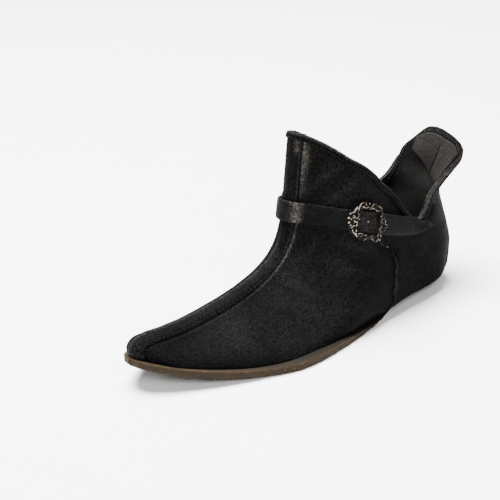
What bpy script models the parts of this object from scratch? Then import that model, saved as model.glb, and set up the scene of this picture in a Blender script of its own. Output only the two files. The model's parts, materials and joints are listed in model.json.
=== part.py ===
"""Viking shoe, left foot: an empty ankle shoe standing on its sole.

The upper is worked out from a side view (ridge, back, collar and bottom lines) and a half width
at each point of that side view, and every overlay is cut from the same function.
Tables and sizes are in millimetres; x runs to the toe, y to the outer side, z up from the floor.
"""
import bmesh
import bpy
import numpy as np

MM = 0.001

# Driving dimensions
SOLE_LENGTH = 270.0
SOLE_THICK = 5.5
SOLE_CHAMFER = 0.6
TOE_SPRING = 17.0
SPRING_START = 178.0
TOE_IN = 6.5
TOE_IN_START = 140.0
WALL = 2.2
GAP = 0.3
INSOLE_THICK = 2.5
STRIP_HALF = 8.0
STRIP_THICK = 1.2
STRIP_GAP = 0.5
QUARTER_THICK = 1.4
QUARTER_FOOT = 3.4
QUARTER_GAP = 0.85
STRAP_THICK = 2.0
STRAP_TIP_X = 35.0
STRAP_TIP_LENGTH = 13.0
STRAP_START_X = 99.0
BUCKLE_X = 104.0
BUCKLE_Z = 73.0
BUCKLE_OUTER = 14.2
BUCKLE_WINDOW_LONG = 8.2
BUCKLE_WINDOW_HIGH = 7.2
BUCKLE_THICK = 2.6
BUCKLE_LOBES = 8
PRONG_RADIUS = 1.9
PRONG_HEIGHT = 1.3

# Sole outline: x, outer half width, inner half width
OUTLINE = [
    (0, 0, 0), (3, 13, 13), (12, 24.5, 24.5), (35, 31, 31), (65, 33.5, 30), (95, 37, 30.5),
    (135, 45.5, 36), (172, 51.5, 42.5), (205, 43, 40), (230, 33, 31.5), (250, 22.5, 22),
    (262, 14, 14), (268, 7, 7), (270, 0, 0)]

# Side view lines: x, z
RIDGE = [
    (267.5, 21.6), (267.8, 28), (264, 32), (256, 33.2), (243, 33.2), (228, 34), (212, 36.2),
    (196, 39), (180, 43), (165, 48.5), (154, 55.5), (147, 63.5), (142.5, 74), (139.5, 88),
    (137, 105), (135, 120), (133, 134.5)]
BACK = [
    (9, 0.8), (3.5, 3.2), (-0.5, 8.5), (-3, 18), (-3.6, 30), (-2.2, 44), (0.5, 56), (2.5, 67),
    (2.5, 77), (-0.6, 88), (-5.6, 97), (-9.8, 103.8)]
COLLAR = [
    (133, 134.5), (127, 131.5), (117, 126), (107, 119.5), (96, 112), (86, 103), (77, 91.5),
    (69, 79.5), (61, 67), (54, 61), (46, 65), (38, 70.5), (30, 75.5), (21, 80), (12.5, 84.5),
    (5, 89.8), (-1, 94.6), (-5.3, 98.8), (-8, 102), (-9.8, 103.8)]

# Cross section over the ridge: share of the ridge, nose radius, slope of the side in degrees
NOSE = [
    (0, 7, 50), (0.08, 8, 52), (0.2, 8.5, 54), (0.3, 9, 54), (0.42, 9, 51), (0.55, 9, 45),
    (0.7, 9, 42), (1, 9, 40)]

# Round of the heel: z, depth of the round
HEEL_DEPTH = [(0.8, 34), (20, 36), (46, 37), (64, 38), (79, 31), (92, 18), (104, 9)]

# Flare of the tab: z, how far its sides are bent back
FLARE = [(0, 0), (72, 0), (80, 5.5), (86, 10.5), (93, 9.5), (98, 8), (104, 6)]
FLARE_Y = 28.0

# Half width of the ankle: z, half width
ANKLE = [(0, 33), (30, 35.5), (56, 35.5), (70, 33.5), (80, 31.5), (90, 30.5), (140, 31)]

# Front edge of the heel quarter: x, z, from the sole up and back along its top edge
QUARTER_OUTER = [
    (82, 4), (78, 18), (76.5, 26), (75, 36), (76, 43), (81, 49), (87, 54), (89, 59), (87, 64),
    (80, 66.5), (68, 64), (58, 61.5)]
QUARTER_INNER = [
    (80, 4), (77, 20), (76, 34), (78, 44), (83, 53), (90, 61), (95.5, 68), (97.5, 75), (95, 81),
    (86, 85), (76, 82.5), (67, 74.5), (60, 65)]

# Strap edges in the side view: x, bottom z, top z
STRAP = [(30, 43, 50), (35, 44.5, 52.5), (48, 48.5, 58.5), (55, 50.5, 61), (85, 60, 73.5),
         (104, 66.5, 80.5), (123, 72.5, 86), (140, 76.5, 90.5)]

# Look: name, base colour, roughness, metallic
LOOKS = {
    "black_leather": ((0.012, 0.0115, 0.011, 1), 0.62, 0.0),
    "sole_leather": ((0.115, 0.07, 0.036, 1), 0.8, 0.0),
    "insole_leather": ((0.02, 0.019, 0.018, 1), 0.8, 0.0),
    "antique_metal": ((0.16, 0.145, 0.12, 1), 0.38, 1.0)}


def hermite(rows, column=1):
    """Monotone cubic through a table's first column and the named one."""
    data = np.array(rows, float)
    xs, ys = data[:, 0], data[:, column]
    step = np.diff(xs)
    slope = np.diff(ys) / step
    tangent = np.zeros_like(ys)
    tangent[0], tangent[-1] = slope[0], slope[-1]
    for i in range(1, len(xs) - 1):
        if slope[i - 1] * slope[i] > 0:
            w1 = 2 * step[i] + step[i - 1]
            w2 = step[i] + 2 * step[i - 1]
            tangent[i] = (w1 + w2) / (w1 / slope[i - 1] + w2 / slope[i])

    def value(x):
        x = np.clip(np.asarray(x, float), xs[0], xs[-1])
        i = np.clip(np.searchsorted(xs, x, side="right") - 1, 0, len(xs) - 2)
        t = (x - xs[i]) / step[i]
        return (ys[i] * (2 * t**3 - 3 * t**2 + 1) + ys[i + 1] * (3 * t**2 - 2 * t**3)
                + step[i] * (tangent[i] * (t**3 - 2 * t**2 + t) + tangent[i + 1] * (t**3 - t**2)))
    return value


def curve(rows, count=400):
    """Smooth line through points, as a function of the share of its length."""
    points = np.array(rows, float)
    knot = np.r_[0, np.cumsum(np.linalg.norm(np.diff(points, axis=0), axis=1))]
    step = np.diff(knot)[:, None]
    slope = np.diff(points, axis=0) / step
    tangent = np.vstack([slope[:1], points[1:-1], slope[-1:]])
    tangent[1:-1] = (slope[:-1] * step[1:] + slope[1:] * step[:-1]) / (step[1:] + step[:-1])
    at = np.linspace(0, knot[-1], count)
    i = np.clip(np.searchsorted(knot, at, side="right") - 1, 0, len(knot) - 2)
    u = ((at - knot[i]) / step[i, 0])[:, None]
    line = (points[i] * (2 * u**3 - 3 * u**2 + 1) + points[i + 1] * (3 * u**2 - 2 * u**3)
            + step[i] * (tangent[i] * (u**3 - 2 * u**2 + u) + tangent[i + 1] * (u**3 - u**2)))
    share = np.r_[0, np.cumsum(np.linalg.norm(np.diff(line, axis=0), axis=1))]
    share /= share[-1]
    return lambda s: np.stack([np.interp(s, share, line[:, k]) for k in (0, 1)], -1)


def ease(low, high, x):
    t = np.clip((np.asarray(x, float) - low) / (high - low), 0, 1)
    return t * t * (3 - 2 * t)


outer_outline = hermite(OUTLINE, 1)
inner_outline = hermite(OUTLINE, 2)
ridge_line, back_line, collar_line = curve(RIDGE), curve(BACK), curve(COLLAR)
nose_radius, nose_slope = hermite(NOSE, 1), hermite(NOSE, 2)
heel_depth, ankle_width, flare = hermite(HEEL_DEPTH), hermite(ANKLE), hermite(FLARE)
strap_bottom, strap_top = hermite(STRAP, 1), hermite(STRAP, 2)
RIDGE_POINTS = ridge_line(np.linspace(0, 1, 241))
BACK_POINTS = back_line(np.linspace(0, 1, 400))


def spring(x):
    """Height of the sole's underside: flat, then rising to the toe."""
    t = np.clip((np.asarray(x, float) - SPRING_START) / (SOLE_LENGTH - SPRING_START), 0, 1)
    return TOE_SPRING * t**2


def centre(x):
    """Centre line of the foot, which turns in towards the toe."""
    t = np.clip((np.asarray(x, float) - TOE_IN_START) / (SOLE_LENGTH - TOE_IN_START), 0, 1)
    return -TOE_IN * t**2


def back_x(z):
    return np.interp(z, BACK_POINTS[:, 1], BACK_POINTS[:, 0])


def feather(x):
    """Height of the upper's bottom edge: on the sole in front, lapped over it behind."""
    front = ease(70, 150, x)
    return (SOLE_THICK + GAP + spring(x)) * front + BACK[0][1] * (1 - front)


def outline(x, side):
    return np.where(side > 0, outer_outline(x), inner_outline(x))


def bottom_line(a):
    x = RIDGE[0][0] + (BACK[0][0] - RIDGE[0][0]) * np.asarray(a, float)
    return np.stack([x, feather(x)], -1)


def patch(a, b):
    """Side view point: a from the ridge to the back, b from the bottom to the collar."""
    a, b = np.broadcast_arrays(np.asarray(a, float), np.asarray(b, float))
    p, q = a[..., None], b[..., None]
    sides = (1 - q) * bottom_line(a) + q * collar_line(a)
    ends = (1 - p) * ridge_line(b) + p * back_line(b)
    corners = ((1 - p) * (1 - q) * bottom_line(0.0) + (1 - p) * q * collar_line(0.0)
               + p * q * collar_line(1.0) + p * (1 - q) * bottom_line(1.0))
    return sides + ends - corners


def ridge_distance(x, z):
    """Distance in the side view to the ridge line and the share along it."""
    point = np.stack([np.ravel(x), np.ravel(z)], -1)
    start, along = RIDGE_POINTS[:-1], np.diff(RIDGE_POINTS, axis=0)
    distance, share = np.zeros(len(point)), np.zeros(len(point))
    for k in range(0, len(point), 4000):
        rel = point[k:k + 4000, None] - start[None]
        t = np.clip((rel * along).sum(-1) / (along**2).sum(-1), 0, 1)
        gap = np.linalg.norm(rel - t[..., None] * along, axis=-1)
        near = gap.argmin(1)
        row = np.arange(len(near))
        distance[k:k + 4000] = gap[row, near]
        share[k:k + 4000] = (near + t[row, near]) / len(along)
    return distance.reshape(np.shape(x)), share.reshape(np.shape(x))


def half_width(x, z, side):
    """Half width of the upper's outer face at a side view point."""
    d, share = ridge_distance(x, z)
    radius, slope = nose_radius(share), np.radians(nose_slope(share))
    d_flat, y_flat = radius * (1 - np.sin(slope)), radius * np.cos(slope)
    circle = np.sqrt(np.maximum(0, radius**2 - (radius - np.minimum(d, radius))**2))
    roof = np.where(d < d_flat, circle, y_flat + (d - d_flat) * np.tan(slope))
    rise, rear = z - feather(x), 1 - ease(90, 160, x)
    low = outline(np.clip(x, 14, SOLE_LENGTH), side)
    low = low + 3.0 * (1 - ease(90, 170, x)) * ease(0, 12, rise)
    low = low - (1 - rear) * (1.2 + 2.5 * (1 - ease(0, 7, rise)))
    low = low - 5.5 * rear * (1 - np.clip(rise / 12, 0, 1))**2
    high = ease(14, 58, z)
    wall = low * (1 - high) + ankle_width(z) * high
    depth = heel_depth(z)
    heel = np.clip((back_x(z) + depth - x) / depth, 0, 1)
    wall = wall * np.sqrt(np.maximum(0, 1 - heel**2.7))
    return roof * wall / np.maximum(1e-9, (roof**8 + wall**8)**0.125)


def face(t, b):
    """Outer face of the upper: t from -1 to 1 round the foot, 0 on the ridge, 1 at the back."""
    t, b = np.broadcast_arrays(np.asarray(t, float), np.clip(np.asarray(b, float), 0, 1))
    t = (t + 1) % 2 - 1
    side = np.where(t >= 0, 1.0, -1.0)
    a = 0.5 - 0.5 * np.cos(np.pi * np.abs(t))
    x, z = np.moveaxis(patch(a, b), -1, 0)
    y = np.where((a < 1e-9) | (a > 1 - 1e-9), 0, half_width(x, z, side))
    bent = flare(z) * (1 - ease(22, 56, x)) * (y / FLARE_Y)**2
    return np.stack([x - bent, centre(x) + side * y, z], -1)


def skin(t, b, lift=0.0):
    """Point raised from the outer face along its normal."""
    e = 0.004
    around = face(np.add(t, e), b) - face(np.subtract(t, e), b)
    up = face(t, np.add(b, e)) - face(t, np.subtract(b, e))
    normal = np.cross(around, up)
    normal /= np.linalg.norm(normal, axis=-1, keepdims=True)
    return face(t, b) + normal * np.asarray(lift, float)[..., None]


# Mesh lines of the face, from the ridge to the back and from the sole to the collar
COLUMNS = np.r_[np.linspace(0, 0.14, 5), np.linspace(0.18, 1, 22)]
ROWS = np.r_[np.linspace(0, 0.09, 5), np.linspace(0.14, 0.38, 6), np.linspace(0.43, 0.62, 7),
             np.linspace(0.67, 1, 8)]
GRID_A, GRID_B = np.meshgrid(np.linspace(0, 1, 141), np.linspace(0, 1, 71), indexing="ij")
GRID_POINTS = patch(GRID_A, GRID_B).reshape(-1, 2)


def locate(x, z):
    """The t (without its sign) and b of a side view point."""
    point = np.stack([np.ravel(x), np.ravel(z)], -1).astype(float)
    near = ((point[:, None] - GRID_POINTS[None])**2).sum(-1).argmin(1)
    a, b = GRID_A.ravel()[near], GRID_B.ravel()[near]
    e = 1e-4
    for _ in range(6):
        miss = point - patch(a, b)
        da = (patch(a + e, b) - patch(a - e, b)) / (2 * e)
        db = (patch(a, b + e) - patch(a, b - e)) / (2 * e)
        det = da[:, 0] * db[:, 1] - da[:, 1] * db[:, 0]
        a = np.clip(a + (miss[:, 0] * db[:, 1] - miss[:, 1] * db[:, 0]) / det, 0, 1)
        b = np.clip(b + (da[:, 0] * miss[:, 1] - da[:, 1] * miss[:, 0]) / det, 0, 1)
    t = np.arccos(1 - 2 * a) / np.pi
    return t.reshape(np.shape(x)), b.reshape(np.shape(x))


def slab(low, high, closed=False):
    """Closed solid between two point grids of the same layout; closed joins its first axis."""
    n, m = low.shape[:2]
    points = np.concatenate([low.reshape(-1, 3), high.reshape(-1, 3)])
    faces = []

    def at(layer, i, j):
        return layer * n * m + (i % n) * m + j
    def strip(first, second):
        faces.append([first[0], first[1], second[1]])
        faces.append([first[0], second[1], second[0]])
    for i in range(n if closed else n - 1):
        for j in range(m - 1):
            for layer in (0, 1):
                strip([at(layer, i, j), at(layer, i, j + 1)],
                      [at(layer, i + 1, j), at(layer, i + 1, j + 1)])
        for j in (0, m - 1):
            strip([at(0, i, j), at(1, i, j)], [at(0, i + 1, j), at(1, i + 1, j)])
    if not closed:
        for i in (0, n - 1):
            for j in range(m - 1):
                strip([at(0, i, j), at(1, i, j)], [at(0, i, j + 1), at(1, i, j + 1)])
    return points, faces


def stack(loops):
    """Closed solid from loops of half width stations: each loop is x, outer y, inner y, z."""
    count = len(loops[0][0])
    points, faces = [], []
    for x, outer, inner, z in loops:
        points += list(zip(x, outer, z))
        points += list(zip(x[1:-1][::-1], inner[1:-1][::-1], z[1:-1][::-1]))
    size = 2 * count - 2
    for k in range(len(loops) - 1):
        for i in range(size):
            j = (i + 1) % size
            faces.append([k * size + i, k * size + j, (k + 1) * size + j, (k + 1) * size + i])
    for base in (0, (len(loops) - 1) * size):
        for i in range(count - 1):
            ring = [base + i, base + i + 1, base + (size - i - 1) % size, base + (size - i) % size]
            faces.append(list(dict.fromkeys(ring)))
    return np.array(points), faces


def plan_offset(x, y, inset):
    """Half width, as a function of x, of a plan curve moved inwards."""
    along = np.gradient(np.stack([x, y], -1), axis=0)
    along /= np.linalg.norm(along, axis=1, keepdims=True)
    moved_x, moved_y = x + inset * along[:, 1], y - inset * along[:, 0]
    keep = moved_y > 0
    order = np.argsort(moved_x[keep])
    px, py = moved_x[keep][order], moved_y[keep][order]
    ends = (px[0] - 0.05, px[-1] + 0.05)
    px, py = np.r_[ends[0], px, ends[1]], np.r_[0, py, 0]
    return (lambda q: np.interp(q, px, py)), ends


def section(side, height, inset):
    """The upper's plan curve at a height over the sole's underside, moved inwards."""
    x = np.linspace(-3, 267.4, 1200)
    y = half_width(x, spring(x) + height, np.full_like(x, side))
    keep = y > 0.3
    return plan_offset(x[keep], y[keep], inset)


def stations(start, end, count):
    return start + (end - start) * (0.5 - 0.5 * np.cos(np.pi * np.linspace(0, 1, count)))


def make_outsole():
    edge_t = np.linspace(0.999, 0.001, 500)
    lap = {}
    for side in (1, -1):
        rim = face(side * edge_t, 0.0)
        lap[side] = plan_offset(rim[:, 0], side * (rim[:, 1] - centre(rim[:, 0])), 3.6)
    start = max(lap[1][1][0], lap[-1][1][0]) + 0.1

    def inset(x, side, grow):
        front, bare = ease(150, 178, x), ease(84, 128, x)
        tucked = lap[side][0](x)
        shown = outline(x, side) * bare + (tucked + SOLE_CHAMFER) * (1 - bare)
        held = (outline(x, side) - SOLE_CHAMFER) * front + tucked * (1 - front)
        return centre(x) + side * np.maximum(0, shown if grow else held)
    wide_x = stations(start - 0.4, SOLE_LENGTH, 46)
    tight_x = stations(start, SOLE_LENGTH - SOLE_CHAMFER, 46)
    flange = np.clip(feather(wide_x) - spring(wide_x) - 0.55, 0.25, SOLE_THICK - SOLE_CHAMFER)
    step = flange + 0.15 + (SOLE_CHAMFER - 0.2) * ease(150, 178, tight_x)

    def loop(x, grow, z):
        return x, inset(x, 1, grow), inset(x, -1, grow), z
    return stack([loop(wide_x, True, spring(wide_x)), loop(wide_x, True, spring(wide_x) + flange),
                  loop(tight_x, False, spring(tight_x) + step),
                  loop(tight_x, False, spring(tight_x) + SOLE_THICK + 0.01)])


def make_insole():
    low = SOLE_THICK + GAP
    halves, starts, ends = {}, [], []
    for side in (1, -1):
        picks = [section(side, low + h, WALL * 1.3 + 2 * GAP) for h in (0.0, INSOLE_THICK)]
        halves[side] = [p[0] for p in picks]
        starts += [p[1][0] for p in picks]
        ends += [p[1][1] for p in picks]
    x = stations(max(starts) + 0.1, min(min(ends), 261.5), 40)

    def edge(side):
        return centre(x) + side * np.minimum(halves[side][0](x), halves[side][1](x))
    return stack([(x, edge(1), edge(-1), spring(x) + low),
                  (x, edge(1), edge(-1), spring(x) + low + INSOLE_THICK)])


def make_upper():
    t, b = np.meshgrid(np.r_[-COLUMNS[:0:-1], COLUMNS[:-1]], ROWS, indexing="ij")
    lining = skin(t, b, np.full_like(t, -WALL))
    lining[..., 2] = np.maximum(lining[..., 2], feather(lining[..., 0]) + 0.02 * np.arange(len(ROWS)))
    return slab(lining, skin(t, b, np.zeros_like(t)), closed=True)


def strip_arc(t, b):
    """Length over the nose from the ridge to a point of the outer face."""
    x, z = np.moveaxis(patch(0.5 - 0.5 * np.cos(np.pi * np.abs(t)), b), -1, 0)
    d, share = ridge_distance(x, z)
    radius, slope = nose_radius(share), np.radians(nose_slope(share))
    d_flat = radius * (1 - np.sin(slope))
    over = np.arccos(np.clip(1 - np.minimum(d, d_flat) / radius, -1, 1)) * radius
    return over + np.maximum(0, d - d_flat) / np.cos(slope)


def strip_edge(b, arc):
    """The t at which the face of row b is an arc length from the ridge."""
    fine = np.linspace(0, 0.45, 400)
    return np.array([np.interp(arc, strip_arc(fine, np.full_like(fine, row)), fine) for row in b])


def make_front_strip():
    b = np.r_[0.03, ROWS[2:-1], 0.98]
    side = np.stack([strip_edge(b, STRIP_HALF * share) for share in (0.25, 0.5, 0.75, 1)], 1)
    t = np.concatenate([-side[:, ::-1], np.zeros((len(b), 1)), side], 1)
    rows = np.repeat(b[:, None], t.shape[1], 1)
    return slab(skin(t, rows, np.full_like(t, STRIP_GAP)),
                skin(t, rows, np.full_like(t, STRIP_GAP + STRIP_THICK)))


def make_heel_quarter():
    b = np.r_[0, ROWS[2:-1], 0.965]
    halves = []
    for rows in (QUARTER_OUTER, QUARTER_INNER):
        t, level = locate(*curve(rows)(np.linspace(0, 1, 80)).T)
        order = np.argsort(level)
        edge = np.interp(b, level[order], t[order])[:, None]
        kept = COLUMNS[COLUMNS > edge.max() + 0.015]
        lead = edge + (kept[0] - edge) * np.linspace(0, 1, 7)[:-1]
        halves.append(np.concatenate([lead, np.repeat(kept[None], len(b), 0)], 1))
    t = np.concatenate([halves[0], -halves[1][:, -2::-1]], 1)
    fine = np.linspace(0, 0.2, 200)
    foot = [np.interp(QUARTER_FOOT, face(np.full_like(fine, q), fine)[:, 2], fine) for q in t[0]]
    rows = np.maximum(b[:, None], np.array(foot)[None] + 0.012 * np.arange(len(b))[:, None])
    rows[-1] = b[-1]
    return slab(skin(t.T, rows.T, np.full_like(t.T, QUARTER_GAP)),
                skin(t.T, rows.T, np.full_like(t.T, QUARTER_GAP + QUARTER_THICK)))


def strap_lift(t, x):
    """Underside of the strap over the face: higher where it crosses the strip and the quarter."""
    over_strip = 1 - ease(STRIP_HALF + 2, STRIP_HALF + 9, strap_arc(t, x))
    over_quarter = np.where(t > 0, 1 - ease(92, 108, x), 0)
    return GAP + over_strip * (STRIP_THICK + STRIP_GAP) + over_quarter * (QUARTER_THICK + QUARTER_GAP)


def strap_arc(t, x):
    return strip_arc(t, locate(x, (strap_bottom(x) + strap_top(x)) / 2)[1])


def make_strap():
    fine_b = np.linspace(0, 1, 300)
    t_start = locate(np.full(1, STRAP_START_X), np.full(1, 71.0))[0][0]
    t_end = locate(np.full(1, STRAP_TIP_X), np.full(1, 48.0))[0][0]
    t = np.r_[np.linspace(-t_start, -0.12, 12), np.linspace(-0.1, 0.1, 13),
              np.linspace(0.12, t_end, 26)]
    low, high = [], []
    for value in t:
        x, _, z = face(np.full_like(fine_b, value), fine_b).T
        low.append(np.interp(0, z - strap_bottom(x), fine_b))
        high.append(np.interp(0, z - strap_top(x), fine_b))
    low, high = np.array(low), np.array(high)
    x = face(t, (low + high) / 2)[:, 0]
    narrow = np.where(t > 0, np.clip((x - STRAP_TIP_X) / STRAP_TIP_LENGTH, 0, 1), 1)
    middle, half = (low + high) / 2, (high - low) / 2 * (0.12 + 0.88 * np.sqrt(narrow))
    rows = middle[:, None] + half[:, None] * np.linspace(-1, 1, 5)
    t_grid = np.repeat(t[:, None], 5, 1)
    lift = np.repeat(strap_lift(t, x)[:, None], 5, 1)
    return slab(skin(t_grid, rows, lift), skin(t_grid, rows, lift + STRAP_THICK))


def on_strap(along, across, height):
    """Point over the strap's outer face, in buckle coordinates along and across the strap."""
    e = 0.5
    t, b = locate(np.array([BUCKLE_X, BUCKLE_X + e, BUCKLE_X]),
                  np.array([BUCKLE_Z, BUCKLE_Z + e * 0.34, BUCKLE_Z + e]))
    mid, fore, up = face(t, b)
    fore, up = (fore - mid) / np.linalg.norm(fore - mid), up - mid
    up = up - fore * (up @ fore)
    up /= np.linalg.norm(up)
    x = mid[0] + along * fore[0] + across * up[0]
    z = mid[2] + along * fore[2] + across * up[2]
    t, b = locate(x, z)
    return skin(t, b, strap_lift(t, np.full_like(x, 1.0) * x) + STRAP_THICK + GAP + height)


def make_buckle_frame():
    angle = np.arange(48) / 48 * 2 * np.pi
    square = (np.abs(np.cos(angle))**3.2 + np.abs(np.sin(angle))**3.2)**(-1 / 3.2)
    outer = BUCKLE_OUTER * square**0.55 * (1 + 0.035 * np.cos(BUCKLE_LOBES * angle))
    window = ((np.abs(np.cos(angle)) / BUCKLE_WINDOW_LONG)**2.8
              + (np.abs(np.sin(angle)) / BUCKLE_WINDOW_HIGH)**2.8)**(-1 / 2.8)
    # Cross section: share from the window to the outer edge, height share
    profile = [(0, 0.25), (0.12, 0), (0.88, 0), (1, 0.25), (0.8, 0.85), (0.5, 1), (0.2, 0.85)]
    rings = []
    for share, height in profile:
        r = window + (outer - window) * share
        rings.append(on_strap(r * np.cos(angle), r * np.sin(angle),
                              np.full_like(angle, height * BUCKLE_THICK)))
    points = np.concatenate(rings)
    n, faces = len(angle), []
    for k in range(len(profile)):
        for i in range(n):
            j, m = (i + 1) % n, (k + 1) % len(profile)
            faces.append([k * n + i, k * n + j, m * n + j, m * n + i])
    return points, faces


def make_buckle_prong():
    angle = np.arange(12) / 12 * 2 * np.pi
    rings = [on_strap(PRONG_RADIUS * r * np.cos(angle), PRONG_RADIUS * r * np.sin(angle),
                      np.full_like(angle, PRONG_HEIGHT * h))
             for r, h in ((1, 0), (1, 0.45), (0.8, 0.8), (0.4, 1))]
    faces = [list(range(12))[::-1], [36 + i for i in range(12)]]
    for k in range(3):
        for i in range(12):
            j = (i + 1) % 12
            faces.append([k * 12 + i, k * 12 + j, (k + 1) * 12 + j, (k + 1) * 12 + i])
    return np.concatenate(rings), faces


# Sub-parts: name, maker, look
PARTS = [
    ("outsole", make_outsole, "sole_leather"), ("insole", make_insole, "insole_leather"),
    ("upper", make_upper, "black_leather"), ("front_strip", make_front_strip, "black_leather"),
    ("heel_quarter", make_heel_quarter, "black_leather"), ("strap", make_strap, "black_leather"),
    ("buckle_frame", make_buckle_frame, "antique_metal"),
    ("buckle_prong", make_buckle_prong, "antique_metal")]


def clear_scene():
    for item in list(bpy.data.objects):
        bpy.data.objects.remove(item, do_unlink=True)


def make_look(name, part):
    colour, roughness, metallic = LOOKS[name]
    look = bpy.data.materials.new(part + "_" + name)
    look.use_nodes = True
    shader = look.node_tree.nodes["Principled BSDF"]
    shader.inputs["Base Color"].default_value = colour
    shader.inputs["Roughness"].default_value = roughness
    shader.inputs["Metallic"].default_value = metallic
    look.diffuse_color = colour
    return look


def add_solid(name, points, faces, look, collection):
    mesh = bpy.data.meshes.new(name)
    mesh.from_pydata((points * MM).tolist(), [], faces)
    work = bmesh.new()
    work.from_mesh(mesh)
    bmesh.ops.recalc_face_normals(work, faces=work.faces)
    work.to_mesh(mesh)
    work.free()
    mesh.materials.append(look)
    collection.objects.link(bpy.data.objects.new(name, mesh))


def main():
    clear_scene()
    collection = bpy.data.collections.new("viking_shoe")
    bpy.context.scene.collection.children.link(collection)
    solids = [(name, *maker(), look) for name, maker, look in PARTS]
    every = np.concatenate([points for _, points, _, _ in solids])
    low, high = every.min(0), every.max(0)
    shift = np.array([(low[0] + high[0]) / 2, (low[1] + high[1]) / 2, low[2]])
    for name, points, faces, look in solids:
        add_solid(name, points - shift, faces, make_look(look, name), collection)
    print("box mm", np.round(high - low, 2), "shift mm", np.round(shift, 3))


main()
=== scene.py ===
# %% [markdown]
# A left viking shoe in black waxed leather, dressed over its CAD.
# The real shoe is soft leather turned and stitched over a last, with one strap and a cast buckle.
# Everything below is laid on the CAD's form, drawn a little closer to the soft leather of the photo.

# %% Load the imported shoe
import json
import math
import bpy
import numpy as np
from mathutils import Matrix, Vector

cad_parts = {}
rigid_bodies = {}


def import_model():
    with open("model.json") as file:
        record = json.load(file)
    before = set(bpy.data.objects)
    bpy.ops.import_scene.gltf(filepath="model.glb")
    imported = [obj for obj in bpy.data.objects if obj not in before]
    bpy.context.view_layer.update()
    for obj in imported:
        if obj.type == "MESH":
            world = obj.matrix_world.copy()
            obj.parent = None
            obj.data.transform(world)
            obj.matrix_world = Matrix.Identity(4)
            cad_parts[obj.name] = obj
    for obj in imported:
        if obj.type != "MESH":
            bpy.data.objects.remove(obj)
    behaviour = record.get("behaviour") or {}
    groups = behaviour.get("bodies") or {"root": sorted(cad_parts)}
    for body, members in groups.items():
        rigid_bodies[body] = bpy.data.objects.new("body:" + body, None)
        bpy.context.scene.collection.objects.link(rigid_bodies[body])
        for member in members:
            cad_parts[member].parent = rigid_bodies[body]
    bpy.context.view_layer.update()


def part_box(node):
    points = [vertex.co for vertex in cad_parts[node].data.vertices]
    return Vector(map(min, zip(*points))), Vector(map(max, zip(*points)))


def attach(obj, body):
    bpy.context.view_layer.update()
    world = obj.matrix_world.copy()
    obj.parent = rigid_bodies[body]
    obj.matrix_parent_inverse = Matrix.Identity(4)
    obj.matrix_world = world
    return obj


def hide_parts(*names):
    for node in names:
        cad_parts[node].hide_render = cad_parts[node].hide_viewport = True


for item in list(bpy.data.objects):
    bpy.data.objects.remove(item, do_unlink=True)
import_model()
MM = 0.001

# %% [markdown]
# The last. A shoemaker's form decides the shape of every leather piece pulled over it.
# Here it is a side view (ridge, back, collar and bottom lines) with a half width at each point.
# Pieces are then cut from it by two numbers: t goes round the foot and b goes up the side.

# %% Tables of the form, in millimetres
SHIFT = np.array([130.1, 4.089, 0.0])
SOLE_LENGTH = 270.0
SOLE_THICK = 5.5
WALL = 2.2
OUTLINE = [
    (0, 0, 0), (3, 13, 13), (12, 24.5, 24.5), (35, 31, 31), (65, 33.5, 30), (95, 39, 30.5),
    (135, 48, 36), (172, 51.9, 42.5), (205, 43, 40), (230, 33, 31.5), (250, 22.5, 22),
    (262, 14, 14), (268, 7, 7), (270, 0, 0)]
RIDGE = [
    (267.5, 21.6), (267.8, 28), (264, 32), (256, 33.2), (243, 33.2), (228, 34), (212, 36.2),
    (196, 39), (180, 43), (165, 48.5), (154, 55.5), (147, 63.5), (142.5, 74), (139.5, 88),
    (137, 105), (135, 120), (133, 134.5)]
BACK = [
    (9, 0.8), (2.7, 3.2), (-1.6, 8.5), (-4.6, 18), (-4.2, 30), (-1.2, 44), (1.6, 56), (3.4, 67),
    (2.5, 77), (-0.6, 88), (-5.6, 97), (-9.8, 103.8)]
COLLAR = [
    (133, 134.5), (127, 131.5), (117, 126), (107, 119.5), (96, 112), (86, 103), (77, 91.5),
    (68, 79.5), (59.5, 67), (51.5, 61), (44.5, 65), (37.5, 70.9), (30, 76.9), (21, 82.2), (12.5, 86.9),
    (5, 90.5), (-1, 94.7), (-5.3, 98.9), (-8, 101.7), (-9.8, 103.8)]
NOSE = [
    (0, 7, 50), (0.08, 8, 52), (0.2, 8.5, 54), (0.3, 9, 54), (0.42, 9, 51), (0.55, 9, 45),
    (0.7, 9, 42), (1, 9, 40)]
HEEL_DEPTH = [(0.8, 34), (20, 36), (46, 37), (64, 36), (79, 28.6), (92, 16.2), (104, 12.1)]
FLARE = [(0, 0), (72, 0), (80, 7.9), (86, 11.2), (93, 16.2), (98, 20.8), (104, 29.5)]
# How far the soft heel is drawn in above its round: z, share of the width
PINCH = [(0, 0), (30, 0), (44, 0.1), (56, 0.22), (66, 0.27), (76, 0.24), (86, 0.1), (96, 0)]
ANKLE = [(0, 33), (30, 35.5), (56, 35.5), (70, 33.5), (80, 31.5), (90, 30.5), (140, 31)]
QUARTER_OUTER = [
    (82, 4), (78, 18), (76.5, 26), (75, 36), (76, 43), (81, 49), (87, 54), (89, 59), (87, 64),
    (80, 66.5), (68, 64), (58, 61.5)]
QUARTER_INNER = [
    (80, 4), (77, 20), (76, 34), (78, 44), (83, 53), (90, 61), (95.5, 68), (97.5, 75), (95, 81),
    (86, 85), (76, 82.5), (67, 74.5), (60, 65)]
STRAP = [(36, 51, 56), (44, 52.3, 60), (53, 52.6, 63), (62, 54.2, 65.8), (85, 59.8, 73.5),
         (104, 66.5, 80.5), (123, 72.5, 86), (140, 76.5, 90.5)]
STRAP_TIP = 45.5
# The toe's rise and its turn to the inside, and where each begins
TOE_SPRING, SPRING_START = 17.0, 178
TOE_TURN, TURN_START = 6.5, 140
# The collar's edge as b, a little inside so that slopes can be taken there
EDGE_B = 0.999
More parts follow.
